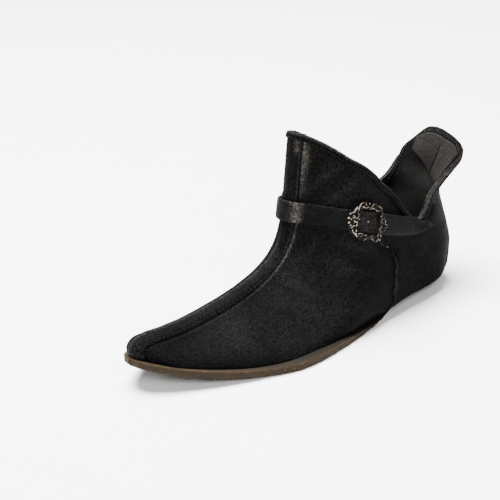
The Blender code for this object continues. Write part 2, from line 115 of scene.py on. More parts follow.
# The collar's sides hang lower: its inner side sags by the heel, the tab and the flap arch down
SAG_DEPTH, SAG_MIDDLE, SAG_WIDTH = 7.7, 32, 22
TAB_ARCH, FLAP_ARCH, FLAP_START = 7.1, 2.7, 45
# The tab is bent back at its sides, a little more on the outer one; half width of a full bend
OUTER_FLARE, FLARE_WIDTH = 1.13, 28.0


def unit(vectors):
    """The same directions with length 1."""
    return vectors / np.linalg.norm(vectors, axis=-1, keepdims=True)


def square_to(vectors, way):
    """What is left of vectors without their part along a way."""
    return vectors - way * (vectors * way).sum(-1, keepdims=True)


def run_of(points):
    """Length along a line of points, up to each of them."""
    return np.r_[0, np.cumsum(np.linalg.norm(np.diff(points, axis=0), axis=1))]


def cubic(t, start, end, leave, arrive):
    """Smooth way from start to end with the slopes given."""
    return (start * (2 * t**3 - 3 * t**2 + 1) + end * (3 * t**2 - 2 * t**3)
            + leave * (t**3 - 2 * t**2 + t) + arrive * (t**3 - t**2))


def hermite(rows, column=1):
    """Monotone cubic through a table's first column and the named one."""
    data = np.array(rows, float)
    xs, ys = data[:, 0], data[:, column]
    step = np.diff(xs)
    slope = np.diff(ys) / step
    tangent = np.zeros_like(ys)
    tangent[0], tangent[-1] = slope[0], slope[-1]
    for i in range(1, len(xs) - 1):
        if slope[i - 1] * slope[i] > 0:
            w1 = 2 * step[i] + step[i - 1]
            w2 = step[i] + 2 * step[i - 1]
            tangent[i] = (w1 + w2) / (w1 / slope[i - 1] + w2 / slope[i])

    def value(x):
        x = np.clip(np.asarray(x, float), xs[0], xs[-1])
        i = np.clip(np.searchsorted(xs, x, side="right") - 1, 0, len(xs) - 2)
        t = (x - xs[i]) / step[i]
        return cubic(t, ys[i], ys[i + 1], step[i] * tangent[i], step[i] * tangent[i + 1])
    return value


def curve(rows, count=400):
    """Smooth line through points, as a function of the share of its length."""
    points = np.array(rows, float)
    knot = run_of(points)
    step = np.diff(knot)[:, None]
    slope = np.diff(points, axis=0) / step
    tangent = np.vstack([slope[:1], points[1:-1], slope[-1:]])
    tangent[1:-1] = (slope[:-1] * step[1:] + slope[1:] * step[:-1]) / (step[1:] + step[:-1])
    at = np.linspace(0, knot[-1], count)
    i = np.clip(np.searchsorted(knot, at, side="right") - 1, 0, len(knot) - 2)
    u = ((at - knot[i]) / step[i, 0])[:, None]
    line = cubic(u, points[i], points[i + 1], step[i] * tangent[i], step[i] * tangent[i + 1])
    share = run_of(line)
    share /= share[-1]
    return lambda s: np.stack([np.interp(s, share, line[:, k]) for k in (0, 1)], -1)


def ease(low, high, x):
    """Smooth step from 0 at low to 1 at high."""
    t = np.clip((np.asarray(x, float) - low) / (high - low), 0, 1)
    return t * t * (3 - 2 * t)


def hump(x, middle, width):
    """Bell of height 1."""
    return np.exp(-((x - middle) / width)**2)


def slow_ends(share):
    """Share from 0 to 1 that starts and ends slowly."""
    return 0.5 - 0.5 * np.cos(np.pi * share)


outer_outline = hermite(OUTLINE, 1)
inner_outline = hermite(OUTLINE, 2)
ridge_line, back_line, collar_line = curve(RIDGE), curve(BACK), curve(COLLAR)
nose_radius, nose_slope = hermite(NOSE, 1), hermite(NOSE, 2)
heel_depth, ankle_width, flare = hermite(HEEL_DEPTH), hermite(ANKLE), hermite(FLARE)
pinch = hermite(PINCH)
strap_bottom, strap_top = hermite(STRAP, 1), hermite(STRAP, 2)
RIDGE_POINTS = ridge_line(np.linspace(0, 1, 241))
BACK_POINTS = back_line(np.linspace(0, 1, 400))
COLLAR_POINTS = collar_line(np.linspace(0, 1, 161))

# %% The form's surface
def spring(x):
    """Height of the sole's underside: flat, then rising to the toe."""
    run = (np.asarray(x, float) - SPRING_START) / (SOLE_LENGTH - SPRING_START)
    return TOE_SPRING * np.clip(run, 0, 1)**2


def centre(x):
    """Centre line of the foot, which turns in towards the toe."""
    run = (np.asarray(x, float) - TURN_START) / (SOLE_LENGTH - TURN_START)
    return -TOE_TURN * np.clip(run, 0, 1)**2


def feather(x):
    """Height of the upper's bottom edge: on the sole in front, lapped over it behind."""
    front = ease(70, 150, x)
    return (SOLE_THICK + 0.3 + spring(x)) * front + BACK[0][1] * (1 - front)


def outline(x, side):
    return np.where(side > 0, outer_outline(x), inner_outline(x))


def bottom_line(a):
    x = RIDGE[0][0] + (BACK[0][0] - RIDGE[0][0]) * np.asarray(a, float)
    return np.stack([x, feather(x)], -1)


def patch(a, b):
    """Side view point: a from the ridge to the back, b from the bottom to the collar."""
    a, b = np.broadcast_arrays(np.asarray(a, float), np.asarray(b, float))
    p, q = a[..., None], b[..., None]
    sides = (1 - q) * bottom_line(a) + q * collar_line(a)
    ends = (1 - p) * ridge_line(b) + p * back_line(b)
    corners = ((1 - p) * (1 - q) * bottom_line(0.0) + (1 - p) * q * collar_line(0.0)
               + p * q * collar_line(1.0) + p * (1 - q) * bottom_line(1.0))
    return sides + ends - corners


def line_distance(x, z, line):
    """Distance in the side view to a line of points and the share along it."""
    point = np.stack([np.ravel(x), np.ravel(z)], -1)
    start, along = line[:-1], np.diff(line, axis=0)
    distance, share = np.zeros(len(point)), np.zeros(len(point))
    for k in range(0, len(point), 4000):
        rel = point[k:k + 4000, None] - start[None]
        t = np.clip((rel * along).sum(-1) / (along**2).sum(-1), 0, 1)
        gap = np.linalg.norm(rel - t[..., None] * along, axis=-1)
        near = gap.argmin(1)
        row = np.arange(len(near))
        distance[k:k + 4000] = gap[row, near]
        share[k:k + 4000] = (near + t[row, near]) / len(along)
    return distance.reshape(np.shape(x)), share.reshape(np.shape(x))


def half_width(x, z, side):
    """Half width of the upper's outer face at a side view point."""
    d, share = line_distance(x, z, RIDGE_POINTS)
    radius, slope = nose_radius(share), np.radians(nose_slope(share))
    d_flat, y_flat = radius * (1 - np.sin(slope)), radius * np.cos(slope)
    circle = np.sqrt(np.maximum(0, radius**2 - (radius - np.minimum(d, radius))**2))
    roof = np.where(d < d_flat, circle, y_flat + (d - d_flat) * np.tan(slope))
    rise, rear = z - feather(x), 1 - ease(90, 160, x)
    low = outline(np.clip(x, 14, SOLE_LENGTH), side)
    low = low + 3.0 * (1 - ease(90, 170, x)) * ease(0, 12, rise)
    tip = 1 - 0.75 * ease(225, 258, x)
    low = low - (1 - rear) * tip * (0.1 + 1.8 * (1 - ease(0, 5, rise)))
    tuck = 10.0 - 5.0 * ease(45, 85, x)
    low = low + 0.8 * rear - tuck * rear * (1 - np.clip(rise / 15, 0, 1))**2
    high = ease(14, 58, z)
    wall = low * (1 - high) + ankle_width(z) * high
    depth = heel_depth(z)
    back = np.interp(z, BACK_POINTS[:, 1], BACK_POINTS[:, 0])
    heel = np.clip((back + depth - x) / depth, 0, 1)
    wall = wall * np.sqrt(np.maximum(0, 1 - heel**2.7)) * (1 - pinch(z) * (1 - ease(6, 46, x)))
    return roof * wall / np.maximum(1e-9, (roof**8 + wall**8)**0.125)


def face(t, b):
    """Outer face of the upper: t from -1 to 1 round the foot, 0 on the ridge, 1 at the back."""
    t, b = np.broadcast_arrays(np.asarray(t, float), np.clip(np.asarray(b, float), 0, 1))
    t = (t + 1) % 2 - 1
    side = np.where(t >= 0, 1.0, -1.0)
    a = slow_ends(np.abs(t))
    x, z = np.moveaxis(patch(a, b), -1, 0)
    y = np.where((a < 1e-9) | (a > 1 - 1e-9), 0, half_width(x, z, side))
    bent = flare(z) * (1 - ease(22, 56, x)) * (y / FLARE_WIDTH)**2 * np.where(side > 0, OUTER_FLARE, 1)
    sag = SAG_DEPTH * (side < 0) * ease(0.5, 0.95, b) * hump(x, SAG_MIDDLE, SAG_WIDTH)
    fall = np.where(x > FLAP_START, FLAP_ARCH * ease(84, 100, z), TAB_ARCH * ease(84.6, 108, z))
    arch = fall * np.clip(y / 20, 0, 1.3)**2
    return np.stack([x - bent, centre(x) + side * (y - sag), z - sag - arch], -1)


def normal_at(t, b):
    """Outward direction of the face."""
    e = 0.004
    around = face(np.add(t, e), b) - face(np.subtract(t, e), b)
    up = face(t, np.add(b, e)) - face(t, np.subtract(b, e))
    return unit(np.cross(around, up))


def skin(t, b, lift=0.0):
    """Point raised from the outer face along its normal."""
    return face(t, b) + normal_at(t, b) * np.asarray(lift, float)[..., None]


GRID_A, GRID_B = np.meshgrid(np.linspace(0, 1, 141), np.linspace(0, 1, 71), indexing="ij")
GRID_POINTS = patch(GRID_A, GRID_B).reshape(-1, 2)


def locate(x, z):
    """The t (without its sign) and b of a side view point."""
    point = np.stack([np.ravel(x), np.ravel(z)], -1).astype(float)
    near = np.zeros(len(point), int)
    for k in range(0, len(point), 500):
        near[k:k + 500] = ((point[k:k + 500, None] - GRID_POINTS[None])**2).sum(-1).argmin(1)
    a, b = GRID_A.ravel()[near], GRID_B.ravel()[near]
    e = 1e-4
    for _ in range(6):
        miss = point - patch(a, b)
        da = (patch(a + e, b) - patch(a - e, b)) / (2 * e)
        db = (patch(a, b + e) - patch(a, b - e)) / (2 * e)
        det = da[:, 0] * db[:, 1] - da[:, 1] * db[:, 0]
        a = np.clip(a + (miss[:, 0] * db[:, 1] - miss[:, 1] * db[:, 0]) / det, 0, 1)
        b = np.clip(b + (da[:, 0] * miss[:, 1] - da[:, 1] * miss[:, 0]) / det, 0, 1)
    t = np.arccos(1 - 2 * a) / np.pi
    return t.reshape(np.shape(x)), b.reshape(np.shape(x))


def side_view(t, b):
    return np.moveaxis(patch(slow_ends(np.abs(t)), b), -1, 0)


def strip_arc(t, b):
    """Length over the nose from the ridge to a point, larger where the strip is narrower."""
    d, share = line_distance(*side_view(t, b), RIDGE_POINTS)
    radius, slope = nose_radius(share), np.radians(nose_slope(share))
    d_flat = radius * (1 - np.sin(slope))
    over = np.arccos(np.clip(1 - np.minimum(d, d_flat) / radius, -1, 1)) * radius
    return (over + np.maximum(0, d - d_flat) / np.cos(slope)) / (1 - 0.2 * ease(0.3, 0.65, b))


def strip_columns(b, arcs):
    """For each row b, the t at each arc length from the ridge."""
    fine = np.linspace(0, 0.45, 260)
    table = strip_arc(fine[None] + 0 * b[:, None], b[:, None] + 0 * fine[None])
    return np.stack([np.interp(arcs, row, fine) for row in table])


print("middle of the ridge, mm", np.round(face(0.0, 0.5), 1), "sole ends at",
      np.round(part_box("outsole")[1].x / MM + SHIFT[0], 1))

# %% [markdown]
# Working by hand. Each leather piece starts as a flat grid, as a hide lies flat on the bench.
# It is then pulled over the last, given its thickness and its edges are rounded.
# The helpers keep the vertices' places on the sheet, so marks can be put at real distances.

# %% Helpers for sheets
def deselect():
    if bpy.context.object and bpy.context.object.mode != "OBJECT":
        bpy.ops.object.mode_set(mode="OBJECT")
    bpy.ops.object.select_all(action="DESELECT")


def pick(piece):
    deselect()
    piece.select_set(True)
    bpy.context.view_layer.objects.active = piece


def sheet(name, columns, rows):
    """A flat grid, with each vertex's place along it (-1 to 1) and up it (0 to 1)."""
    deselect()
    bpy.ops.mesh.primitive_grid_add(x_subdivisions=columns, y_subdivisions=rows, size=2)
    piece = bpy.context.object
    piece.name = piece.data.name = name
    flat = points_of(piece)
    return piece, flat[:, 0], (flat[:, 1] + 1) / 2


def nth(share, count):
    """Number of the column or row at a share of a sheet."""
    return np.rint(share * count).astype(int)


def points_of(piece):
    flat = np.zeros(len(piece.data.vertices) * 3)
    piece.data.vertices.foreach_get("co", flat)
    return flat.reshape(-1, 3)


def place(piece, points):
    """Pulls the vertices to points given in shoe millimetres."""
    piece.data.vertices.foreach_set("co", ((points - SHIFT) * MM).ravel())
    piece.data.update()


def paint(piece, name, values):
    """A mark on each vertex, read by the materials."""
    mark = piece.data.attributes.get(name) or piece.data.attributes.new(name, "FLOAT", "POINT")
    mark.data.foreach_set("value", np.clip(np.asarray(values, float), 0, 1))


def apply(piece, kind, **settings):
    """Adds a modifier, sets it and applies it."""
    pick(piece)
    work = piece.modifiers.new(kind.lower(), kind)
    for key, value in settings.items():
        setattr(work, key, value)
    bpy.ops.object.modifier_apply(modifier=work.name)


def edit(piece, work, **settings):
    """One step in edit mode on the whole piece."""
    pick(piece)
    bpy.ops.object.mode_set(mode="EDIT")
    bpy.ops.mesh.select_all(action="SELECT")
    work(**settings)
    bpy.ops.object.mode_set(mode="OBJECT")


def weld(piece, distance=0.02):
    """Joins vertices that lie on each other, such as the two ends of a closed sheet."""
    edit(piece, bpy.ops.mesh.remove_doubles, threshold=distance * MM)


def turn_out(piece):
    """Flips the normals of a piece that was laid mirrored."""
    edit(piece, bpy.ops.mesh.flip_normals)


def join(pieces, name):
    """Makes one piece of several."""
    pick(pieces[0])
    for piece in pieces:
        piece.select_set(True)
    bpy.ops.object.join()
    pieces[0].name = pieces[0].data.name = name
    return pieces[0]


def smooth(piece, degrees=50):
    pick(piece)
    bpy.ops.object.shade_smooth_by_angle(angle=math.radians(degrees))


def facing_up(piece):
    return np.array([n.vector.z for n in piece.data.vertex_normals])


def dress(piece, *looks):
    """Gives a piece its finish, and the up mark of painted light: paler where it faces up, less at the
    toe.
    """
    # Painted light: the up mark is the upward facing of each vertex, less towards the toe.
    toward_toe = ease(185, 240, points_of(piece)[:, 0] / MM + SHIFT[0])
    paint(piece, "up", facing_up(piece) * (1 - 0.6 * toward_toe))
    piece.data.materials.clear()
    for look in looks:
        piece.data.materials.append(look)


def hand_over(piece, slot, *nodes):
    """The piece rides on the shoe and stands for its CAD nodes; the slot is not used."""
    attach(piece, "root")
    if nodes:
        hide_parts(*nodes)
    count = sum(len(p.vertices) - 2 for p in piece.data.polygons)
    print(piece.name, count, "triangles")


# %% [markdown]
# Finishes. The leather is waxed and buffed: nearly black, a fine grain, browner where it is rubbed.
# Colour, roughness and bump all come from noise in real millimetres on the object's own coordinates.
# Marks on the vertices steer them: the wear mark where the wax is rubbed away, which also carries
# painted highlights; the up mark, painted light that makes faces paler where it is high; the raw mark
# where the bare fibres show, which on the lining paints it lighter deep in the shoe as painted light;
# and the pale mark where the sole's edge is frayed.

# %% Node helpers
def linear(text):
    """sRGB hex to the linear colour a shader wants."""
    parts = [int(text[i:i + 2], 16) / 255 for i in (1, 3, 5)]
    return [p / 12.92 if p <= 0.04045 else ((p + 0.055) / 1.055)**2.4 for p in parts] + [1.0]


def feed(tree, node, inputs):
    """Sets a node's own sockets; an input is a value or another node's output."""
    for socket, value in inputs.items():
        if isinstance(value, bpy.types.NodeSocket):
            tree.links.new(value, node.inputs[socket])
        else:
            node.inputs[socket].default_value = value


def add(tree, kind, inputs=None, **settings):
    """One node with its settings and inputs."""
    made = tree.nodes.new("ShaderNode" + kind)
    for key, value in settings.items():
        setattr(made, key, value)
    feed(tree, made, inputs or {})
    return made


def start_look(name):
    look = bpy.data.materials.new(name)
    look.use_nodes = True
    tree = look.node_tree
    where = add(tree, "TexCoord").outputs["Object"]
    return look, tree, tree.nodes["Principled BSDF"], where


def noise(tree, where, size, detail=3.0, rough=0.55):
    """Cloudy noise whose patches are about size millimetres."""
    made = add(tree, "TexNoise", {"Vector": where, "Scale": 1000.0 / size, "Detail": detail,
                                  "Roughness": rough})
    return made.outputs["Fac"]


def cells(tree, where, size):
    """Distance inside cells about size millimetres wide, as the pebbles of a grain."""
    made = add(tree, "TexVoronoi", {"Vector": where, "Scale": 1000.0 / size}, feature="F1")
    return made.outputs["Distance"]


def mark(tree, name):
    return add(tree, "Attribute", attribute_name=name).outputs["Fac"]


def spread(tree, value, low, high, to_low=0.0, to_high=1.0):
    made = add(tree, "MapRange", {"Value": value, "From Min": low, "From Max": high,
                                  "To Min": to_low, "To Max": to_high})
    return made.outputs["Result"]


def sums(tree, kind, first, second):
    return add(tree, "Math", {0: first, 1: second}, operation=kind).outputs[0]


def blend(tree, share, first, second):
    """Colour from first to second by share."""
    made = add(tree, "Mix", {0: share, 6: first, 7: second}, data_type="RGBA")
    return made.outputs[2]


def bumped(tree, shader, height, depth, strength):
    """Relief of depth millimetres."""
    made = add(tree, "Bump", {"Height": height, "Distance": depth * MM, "Strength": strength})
    feed(tree, shader, {"Normal": made.outputs["Normal"]})


def leather(name, deep, pale, worn, grain, rough, relief, gloss, cut_or_lit_tones=None, speckle=1.0):
    """A leather: two tones in clouds, a rubbed tone by the mark wear, pebbles and pores.

    The mark up paints light: where it is high the face is painted paler. The wear mark also carries
    painted highlights. The optional raw tones give the two tones of the bare fibres where the raw mark
    is, and on the lining a painted lighter depth inside the shoe, as painted light; then the range over
    which they come through and how broken they are.
    """
    look, tree, shader, where = start_look(name)
    # Painted light: where the up mark is high the tone is painted paler, laid with random clouds of
    # tone.
    painted_light = spread(tree, mark(tree, "up"), 0.0, 0.9, 0.25, 1.15)
    broad = spread(tree, noise(tree, where, 42, 1.0), 0.3, 0.7, 0.45, 1.15)
    cloud = sums(tree, "MULTIPLY", broad, painted_light)
    fine = noise(tree, where, 0.7, 2.0)
    tone = blend(tree, cloud, linear(deep), linear(pale))
    uneven = spread(tree, noise(tree, where, 3.5, 6.0), 0.2, 0.62)
    rub = sums(tree, "MULTIPLY", mark(tree, "wear_and_highlight"), uneven)
    tone = blend(tree, rub, tone, linear(worn))
    pores = noise(tree, where, 0.8, 2.0, 0.7)
    speck = spread(tree, pores, 0.4, 0.6, 1 - 0.95 * speckle, 1 + 1.6 * speckle)
    shade = add(tree, "Mix", {0: 1.0, 6: tone, 7: speck}, data_type="RGBA", blend_type="MULTIPLY")
    tone = shade.outputs[2]
    buff = spread(tree, noise(tree, where, 14, 4.0), 0.3, 0.7, rough[0], rough[1])
    if cut_or_lit_tones:
        broken = spread(tree, noise(tree, where, 2.6, 5.0, 0.7), 0.3, 0.7, -cut_or_lit_tones[4], 0.6 * cut_or_lit_tones[4])
        raw_cut_or_painted_light = spread(tree, sums(tree, "ADD", mark(tree, "raw_cut_or_painted_light"), broken), cut_or_lit_tones[2], cut_or_lit_tones[3])
        fibre = spread(tree, noise(tree, where, 1.1, 4.0), 0.35, 0.65)
        tone = blend(tree, raw_cut_or_painted_light, tone, blend(tree, fibre, linear(cut_or_lit_tones[0]), linear(cut_or_lit_tones[1])))
        buff = sums(tree, "MAXIMUM", buff, sums(tree, "MULTIPLY", raw_cut_or_painted_light, 0.9))
    feed(tree, shader, {"Base Color": tone, "Roughness": buff, "Specular IOR Level": gloss})
    pebble = sums(tree, "MULTIPLY", cells(tree, where, grain), 1.4)
    bumped(tree, shader, sums(tree, "ADD", pebble, fine), relief, 0.8)
    return look


# Waxed black cow leather of the upper
HIDE = ("#020202", "#0b0b0b", "#35322f", 1.1, (0.5, 0.66), 0.3, 0.009)
BLACK = leather("waxed black leather", *HIDE)
# The strap is cut from the same hide, buffed a little more
STRAP_LEATHER = leather("buffed strap leather", "#030303", "#0c0c0c", "#373431", 0.9, (0.46, 0.6),
                        0.26, 0.02)
# Dark lining, black near the collar and painted lighter deeper in the shoe, as painted light in its
# shaded inside
LINING = leather("dark lining leather", "#020202", "#040404", "#141210", 0.8, (0.7, 0.85), 0.12, 0.02,
                 ("#2c2b2a", "#393837", 0.0, 1.0, 0.06), 0.5)
# Grey suede on the inside of the heel tab
SUEDE = leather("grey suede", "#100e0d", "#161412", "#221f1d", 0.5, (0.85, 0.95), 0.2, 0.05, None, 0.4)
print("leathers made:", len(bpy.data.materials))

# %% [markdown]
# The upper. On the real shoe two soft sides meet under the front strip and are pulled over the last.
# Its collar is bound by a separate band, made further down, and the ankle has soft creases.
# The sheet is pulled onto the form with columns that follow the strip, so the seam stays crisp.

# %% Upper
ARCS = np.array([0, 2.5, 5, 7, 7.9, 8.4, 8.9, 9.4, 10.1, 11, 12.5, 15])
SIDE_COLUMNS = 92
# Arc over the ridge to the seam beside the strip and to the swell behind it, and the hem's depth
SEAM_ARC, SWELL_ARC, HEM = 8.7, 10.4, 5.3
# Creases, placed one by one: side, line in the side view, half width, depth
CREASES = [
    (1, [(104, 116), (110, 110), (120, 99.4), (131, 88)], 2.6, 0.9),
    (1, [(122, 122), (127, 110), (131, 98)], 2.0, 0.5),
    (1, [(134, 69), (139, 60), (147, 52)], 2.0, 0.6),
    (1, [(128, 62), (116, 52), (100, 45)], 3.4, 0.6),
    (1, [(164, 43), (158, 36), (148, 27)], 3.0, 0.45),
    (1, [(90, 92), (98, 86), (110, 87)], 2.4, 0.5),
    (-1, [(108, 112), (118, 102), (129, 90)], 2.6, 0.8),
    (-1, [(136, 66), (130, 55), (116, 46)], 3.0, 0.6),
    (-1, [(166, 42), (158, 34), (146, 26)], 3.0, 0.5)]


def creases(t, x, z):
    """Soft troughs with a small swell beside them."""
    lift = np.zeros_like(x)
    for side, line, width, depth in CREASES:
        d, share = line_distance(x, z, curve(line)(np.linspace(0, 1, 24)))
        fade = np.sin(np.pi * np.clip(share, 0, 1))**0.7 * (t * side > 0)
        trough = -hump(d, 0, width) + 0.45 * hump(d, 2.2 * width, width)
        lift += depth * fade * trough
    return lift


def soft_form(t, x, z):
    """Slow waves of soft leather, strongest round the ankle."""
    wave = np.sin(x / 15 + z / 21 + 1.3 * np.sign(t)) * np.sin(z / 12 - x / 33)
    return (0.4 * wave * ease(20, 45, z) + creases(t, x, z)) * (1 - ease(0.86, 0.98, np.abs(t)))


def laid(t, b):
    """Lift of the finished leather over the form, without the collar's hem and the seam."""
    x, z = side_view(t, b)
    arc = strip_arc(t, b)
    return soft_form(t, x, z) * ease(8, 16, arc)


half = len(ARCS) - 1 + SIDE_COLUMNS
upper, u, v = sheet("upper_leather", 2 * half, 130)
b = 1 - (1 - v)**1.3
column = nth(np.abs(u), half)
rows, row = np.unique(np.round(b, 6), return_inverse=True)
seam_t = strip_columns(rows, ARCS)
rest = np.clip((column - len(ARCS) + 1) / SIDE_COLUMNS, 0, 1)
t_near = seam_t[row, np.minimum(column, len(ARCS) - 1)]
t = np.sign(u) * (t_near + (1 - t_near) * rest)
x, z = side_view(t, b)
arc = strip_arc(t, b)
edge, _ = line_distance(x, z, COLLAR_POINTS)
lift = laid(t, b) * ease(2, 9, edge) - 0.4 * hump(edge, HEM, 0.5)
lift -= 0.8 * hump(arc, SEAM_ARC, 0.5)
lift += (0.45 + 0.35 * ease(80, 95, z)) * hump(arc, SWELL_ARC, 1.2)
# Painted highlight, partly rub: a pale band beside the seam up the flap, and a pale line beside the
# seam under the strap.
wear_and_highlight = ease(8.9, 9.9, arc) * hump(np.maximum(9.9, arc), 9.9, 3.6) * ease(84, 122, z) * (t > 0)
wear_and_highlight += 0.55 * hump(arc, 10.0, 0.9) * (1 - ease(66, 96, z)) * ease(36, 60, z)
wear_and_highlight += 0.3 * hump(edge, 0, 1.0) + 0.08 * np.clip(creases(t, x, z) / 0.4, 0, 1)
place(upper, skin(t, b, lift))
paint(upper, "wear_and_highlight", wear_and_highlight)
# Painted light: the lining is painted lighter deeper down in the shoe, where its inside lies in shade.
paint(upper, "raw_cut_or_painted_light", ease(6, 34, edge))
weld(upper)
dress(upper, BLACK, LINING)
x, _, z = (points_of(upper) / MM + SHIFT).T
# Painted light: paler where the leather faces up and higher up, darker towards the toe, with painted
# pools of light on the vamp beside the strip and on the ankle below the strap.
up = 0.02 + 0.75 * np.clip(facing_up(upper), 0, 1) * (1 - 0.75 * ease(195, 245, x))
up += 0.36 * hump(x, 170, 28) * hump(z, 38, 14) + 0.3 * hump(x, 112, 24) * hump(z, 56, 13)
paint(upper, "up", up + 0.31 * ease(28, 60, z))
apply(upper, "SOLIDIFY", thickness=WALL * MM, offset=-1.0, material_offset=1, material_offset_rim=0)
apply(upper, "BEVEL", width=0.5 * MM, segments=2, limit_method="ANGLE", angle_limit=math.radians(55))
smooth(upper)
hand_over(upper, "black_leather", "upper")

# %% [markdown]
# The front strip is one band of leather over the seam, from the toe's tip up to the flap.
# Its edges are turned down to the upper and a faint line runs along its middle from the fold.
# Its top goes under the collar's binding, so it stops just short of the edge.

# %% Front strip
STRIP_LOW, STRIP_HIGH = 0.004, 0.988
STRIP_HALF, STRIP_CROWN = 8.1, 1.7
strip, u, v = sheet("front_strip_leather", 28, 260)
b = STRIP_LOW + (STRIP_HIGH - STRIP_LOW) * v
rows, row = np.unique(np.round(b, 6), return_inverse=True)
reach = STRIP_HALF * np.abs(u)
fine_arcs = np.linspace(0, 8.6, 40)
table = strip_columns(rows, fine_arcs)
t = np.sign(u) * np.array([np.interp(r, fine_arcs, table[k]) for r, k in zip(reach, row)])
x, z = side_view(t, b)
crown = STRIP_CROWN * (1 - np.abs(u)**7) + 0.28 * hump(reach, 0, 0.9) - 0.25
wave = 0.18 * np.sin(b * 61) * np.sin(b * 23 + 1) * (1 - np.abs(u))
crown = crown * (0.55 + 0.45 * ease(0, 0.02, v)) + wave
place(strip, skin(t, b, crown))
wear_and_highlight = 0.3 * hump(np.abs(u), 0.93, 0.05) * ease(0.2, 0.7, v)
wear_and_highlight += 0.25 * hump(reach, 0, 0.9) * (1 - ease(0.6, 0.75, v))
# Painted highlight on the strip's top under the binding, towards the outer side.
wear_and_highlight += 0.5 * hump(u, 0.65, 0.25) * ease(0.93, 0.97, v)
paint(strip, "wear_and_highlight", wear_and_highlight)
dress(strip, BLACK)
# Painted light: the up mark is set evenly on the strip and a little higher over its lower part, which
# paints it paler there.
paint(strip, "up", 0.36 + 0.08 * (1 - ease(0.58, 0.72, v)))
smooth(strip, 80)
hand_over(strip, "black_leather", "front_strip")

# %% [markdown]
# The heel quarter wraps the heel and runs up into the tab. Its front edge is left as it was cut.
# The cut shows pale tan fibres, because the dye stops at the surface of the hide.
# The sheet is cut a little unevenly and the mark "raw" tells the material where the cut is.

# %% Heel quarter
QUARTER_ROWS, QUARTER_SIDE = 130, 85
QUARTER_TOP, QUARTER_THICK = 0.986, 1.7


def cut_line(rows):
    """The t and b of the quarter's front edge from the sole to the collar, cut by hand."""
    line = curve(rows)(np.linspace(0, 1, 200))
    t, b = locate(line[:, 0] + 2.5, line[:, 1])
    t, b = np.r_[t[0], t, t[-1] + 0.015], np.r_[0, b, QUARTER_TOP]
    run = run_of(np.stack([t * 280, b * 90], -1))
    share = np.linspace(0, 1, QUARTER_ROWS + 1)
    wobble = 0.0011 * np.sin(share * 71) + 0.0008 * np.sin(share * 173 + 1)
    wobble += 0.0006 * np.sin(share * 417)
    return np.interp(share, run / run[-1], t) + wobble, np.interp(share, run / run[-1], b)


# The same hide with its raw tan cut
TAN_CUT = ("#1f1a16", "#50463b", 0.45, 0.7, 0.45)
CUT = leather("black leather with a raw tan cut", *HIDE[:-1], 0.004, cut_or_lit_tones=TAN_CUT)
# Millimetres behind the cut of the first columns
LEAD = np.array([0, 0.2, 0.5, 1.1, 2.2, 4.0, 7.0])
quarter, u, v = sheet("heel_quarter_leather", 2 * QUARTER_SIDE, QUARTER_ROWS)
row = nth(v, QUARTER_ROWS)
outer_t, outer_b = (values[row] for values in cut_line(QUARTER_OUTER))
inner_t, inner_b = (values[row] for values in cut_line(QUARTER_INNER))
near_outer = u < 0
edge_t, edge_b = np.where(near_outer, outer_t, inner_t), np.where(near_outer, outer_b, inner_b)
count = nth(1 - np.abs(u), QUARTER_SIDE)
front = np.interp(count, np.arange(len(LEAD)), LEAD)
lead_share = front * 0.0036 / (1 - edge_t)
far = np.clip((count - len(LEAD) + 1) / (QUARTER_SIDE + 1 - len(LEAD)), 0, 1)
share = np.where(count < len(LEAD), lead_share, lead_share + (1 - lead_share) * far)
t = edge_t + (1 - edge_t) * share
t = np.where(near_outer, t, 2 - t)
b = edge_b + (QUARTER_TOP * v - edge_b) * share
front = np.where(count < len(LEAD), front, 9.0)
signed = (t + 1) % 2 - 1
x, z = side_view(signed, b)
edge, _ = line_distance(x, z, COLLAR_POINTS)
lift = (0.4 + 1.3 * ease(1, 12, z)) * (0.55 + 0.45 * ease(3, 10, edge)) + soft_form(signed, x, z)
lift -= 0.75 * hump(front, 0, 1.3)
points = skin(signed, b, lift)
points[:, 2] = np.maximum(points[:, 2], 0.4)
place(quarter, points)
paint(quarter, "raw_cut_or_painted_light", (front < 0.15) * (0.52 + 0.25 * ease(40, 50, z)))
paint(quarter, "wear_and_highlight", 0.2 * hump(front, 1.1, 0.9))
dress(quarter, CUT)
# Painted light: the up mark keeps the heel quarter dark, darker towards the bottom.
paint(quarter, "up", 0.18 + 0.14 * ease(10, 40, z))
apply(quarter, "SOLIDIFY", thickness=QUARTER_THICK * MM, offset=-1.0)
smooth(quarter)
hand_over(quarter, "black_leather", "heel_quarter")

# %% [markdown]
# The strap comes from the inner side over the instep and through the buckle to a pointed tip.
# It is the same hide with smoothed edges, and it bends sharply where it folds over the ridge.
# The tip of a used strap curls away a little from the shoe.

# %% Strap
fine_b = np.linspace(0, 1, 300)
t_start, _ = locate(99.0, 71.0)
t_end, _ = locate(STRAP_TIP, 56.0)


def strap_rows(t):
    """The strap's lower and upper b at each t along it, and x of its middle."""
    low, high = [], []
    for value in t:
        x, _, z = face(value, fine_b).T
        low.append(np.interp(0, z - strap_bottom(x), fine_b))
        high.append(np.interp(0, z - strap_top(x), fine_b))
    low, high = np.array(low), np.array(high)
    return low, high, face(t, (low + high) / 2)[:, 0]


def strap_lift(t, b, x):
    """Underside of the strap over the face: higher over the strip and the quarter."""
    over_strip = 1 - ease(9, 17, strip_arc(t, b))
    over_quarter = np.where(t > 0, 1 - ease(92, 108, x), 0)
    return 0.3 + over_strip * 1.7 + over_quarter * 2.2


STRAP_COLUMNS, STRAP_THICK = 190, 1.9
strap, u, v = sheet("strap_leather", STRAP_COLUMNS, 20)
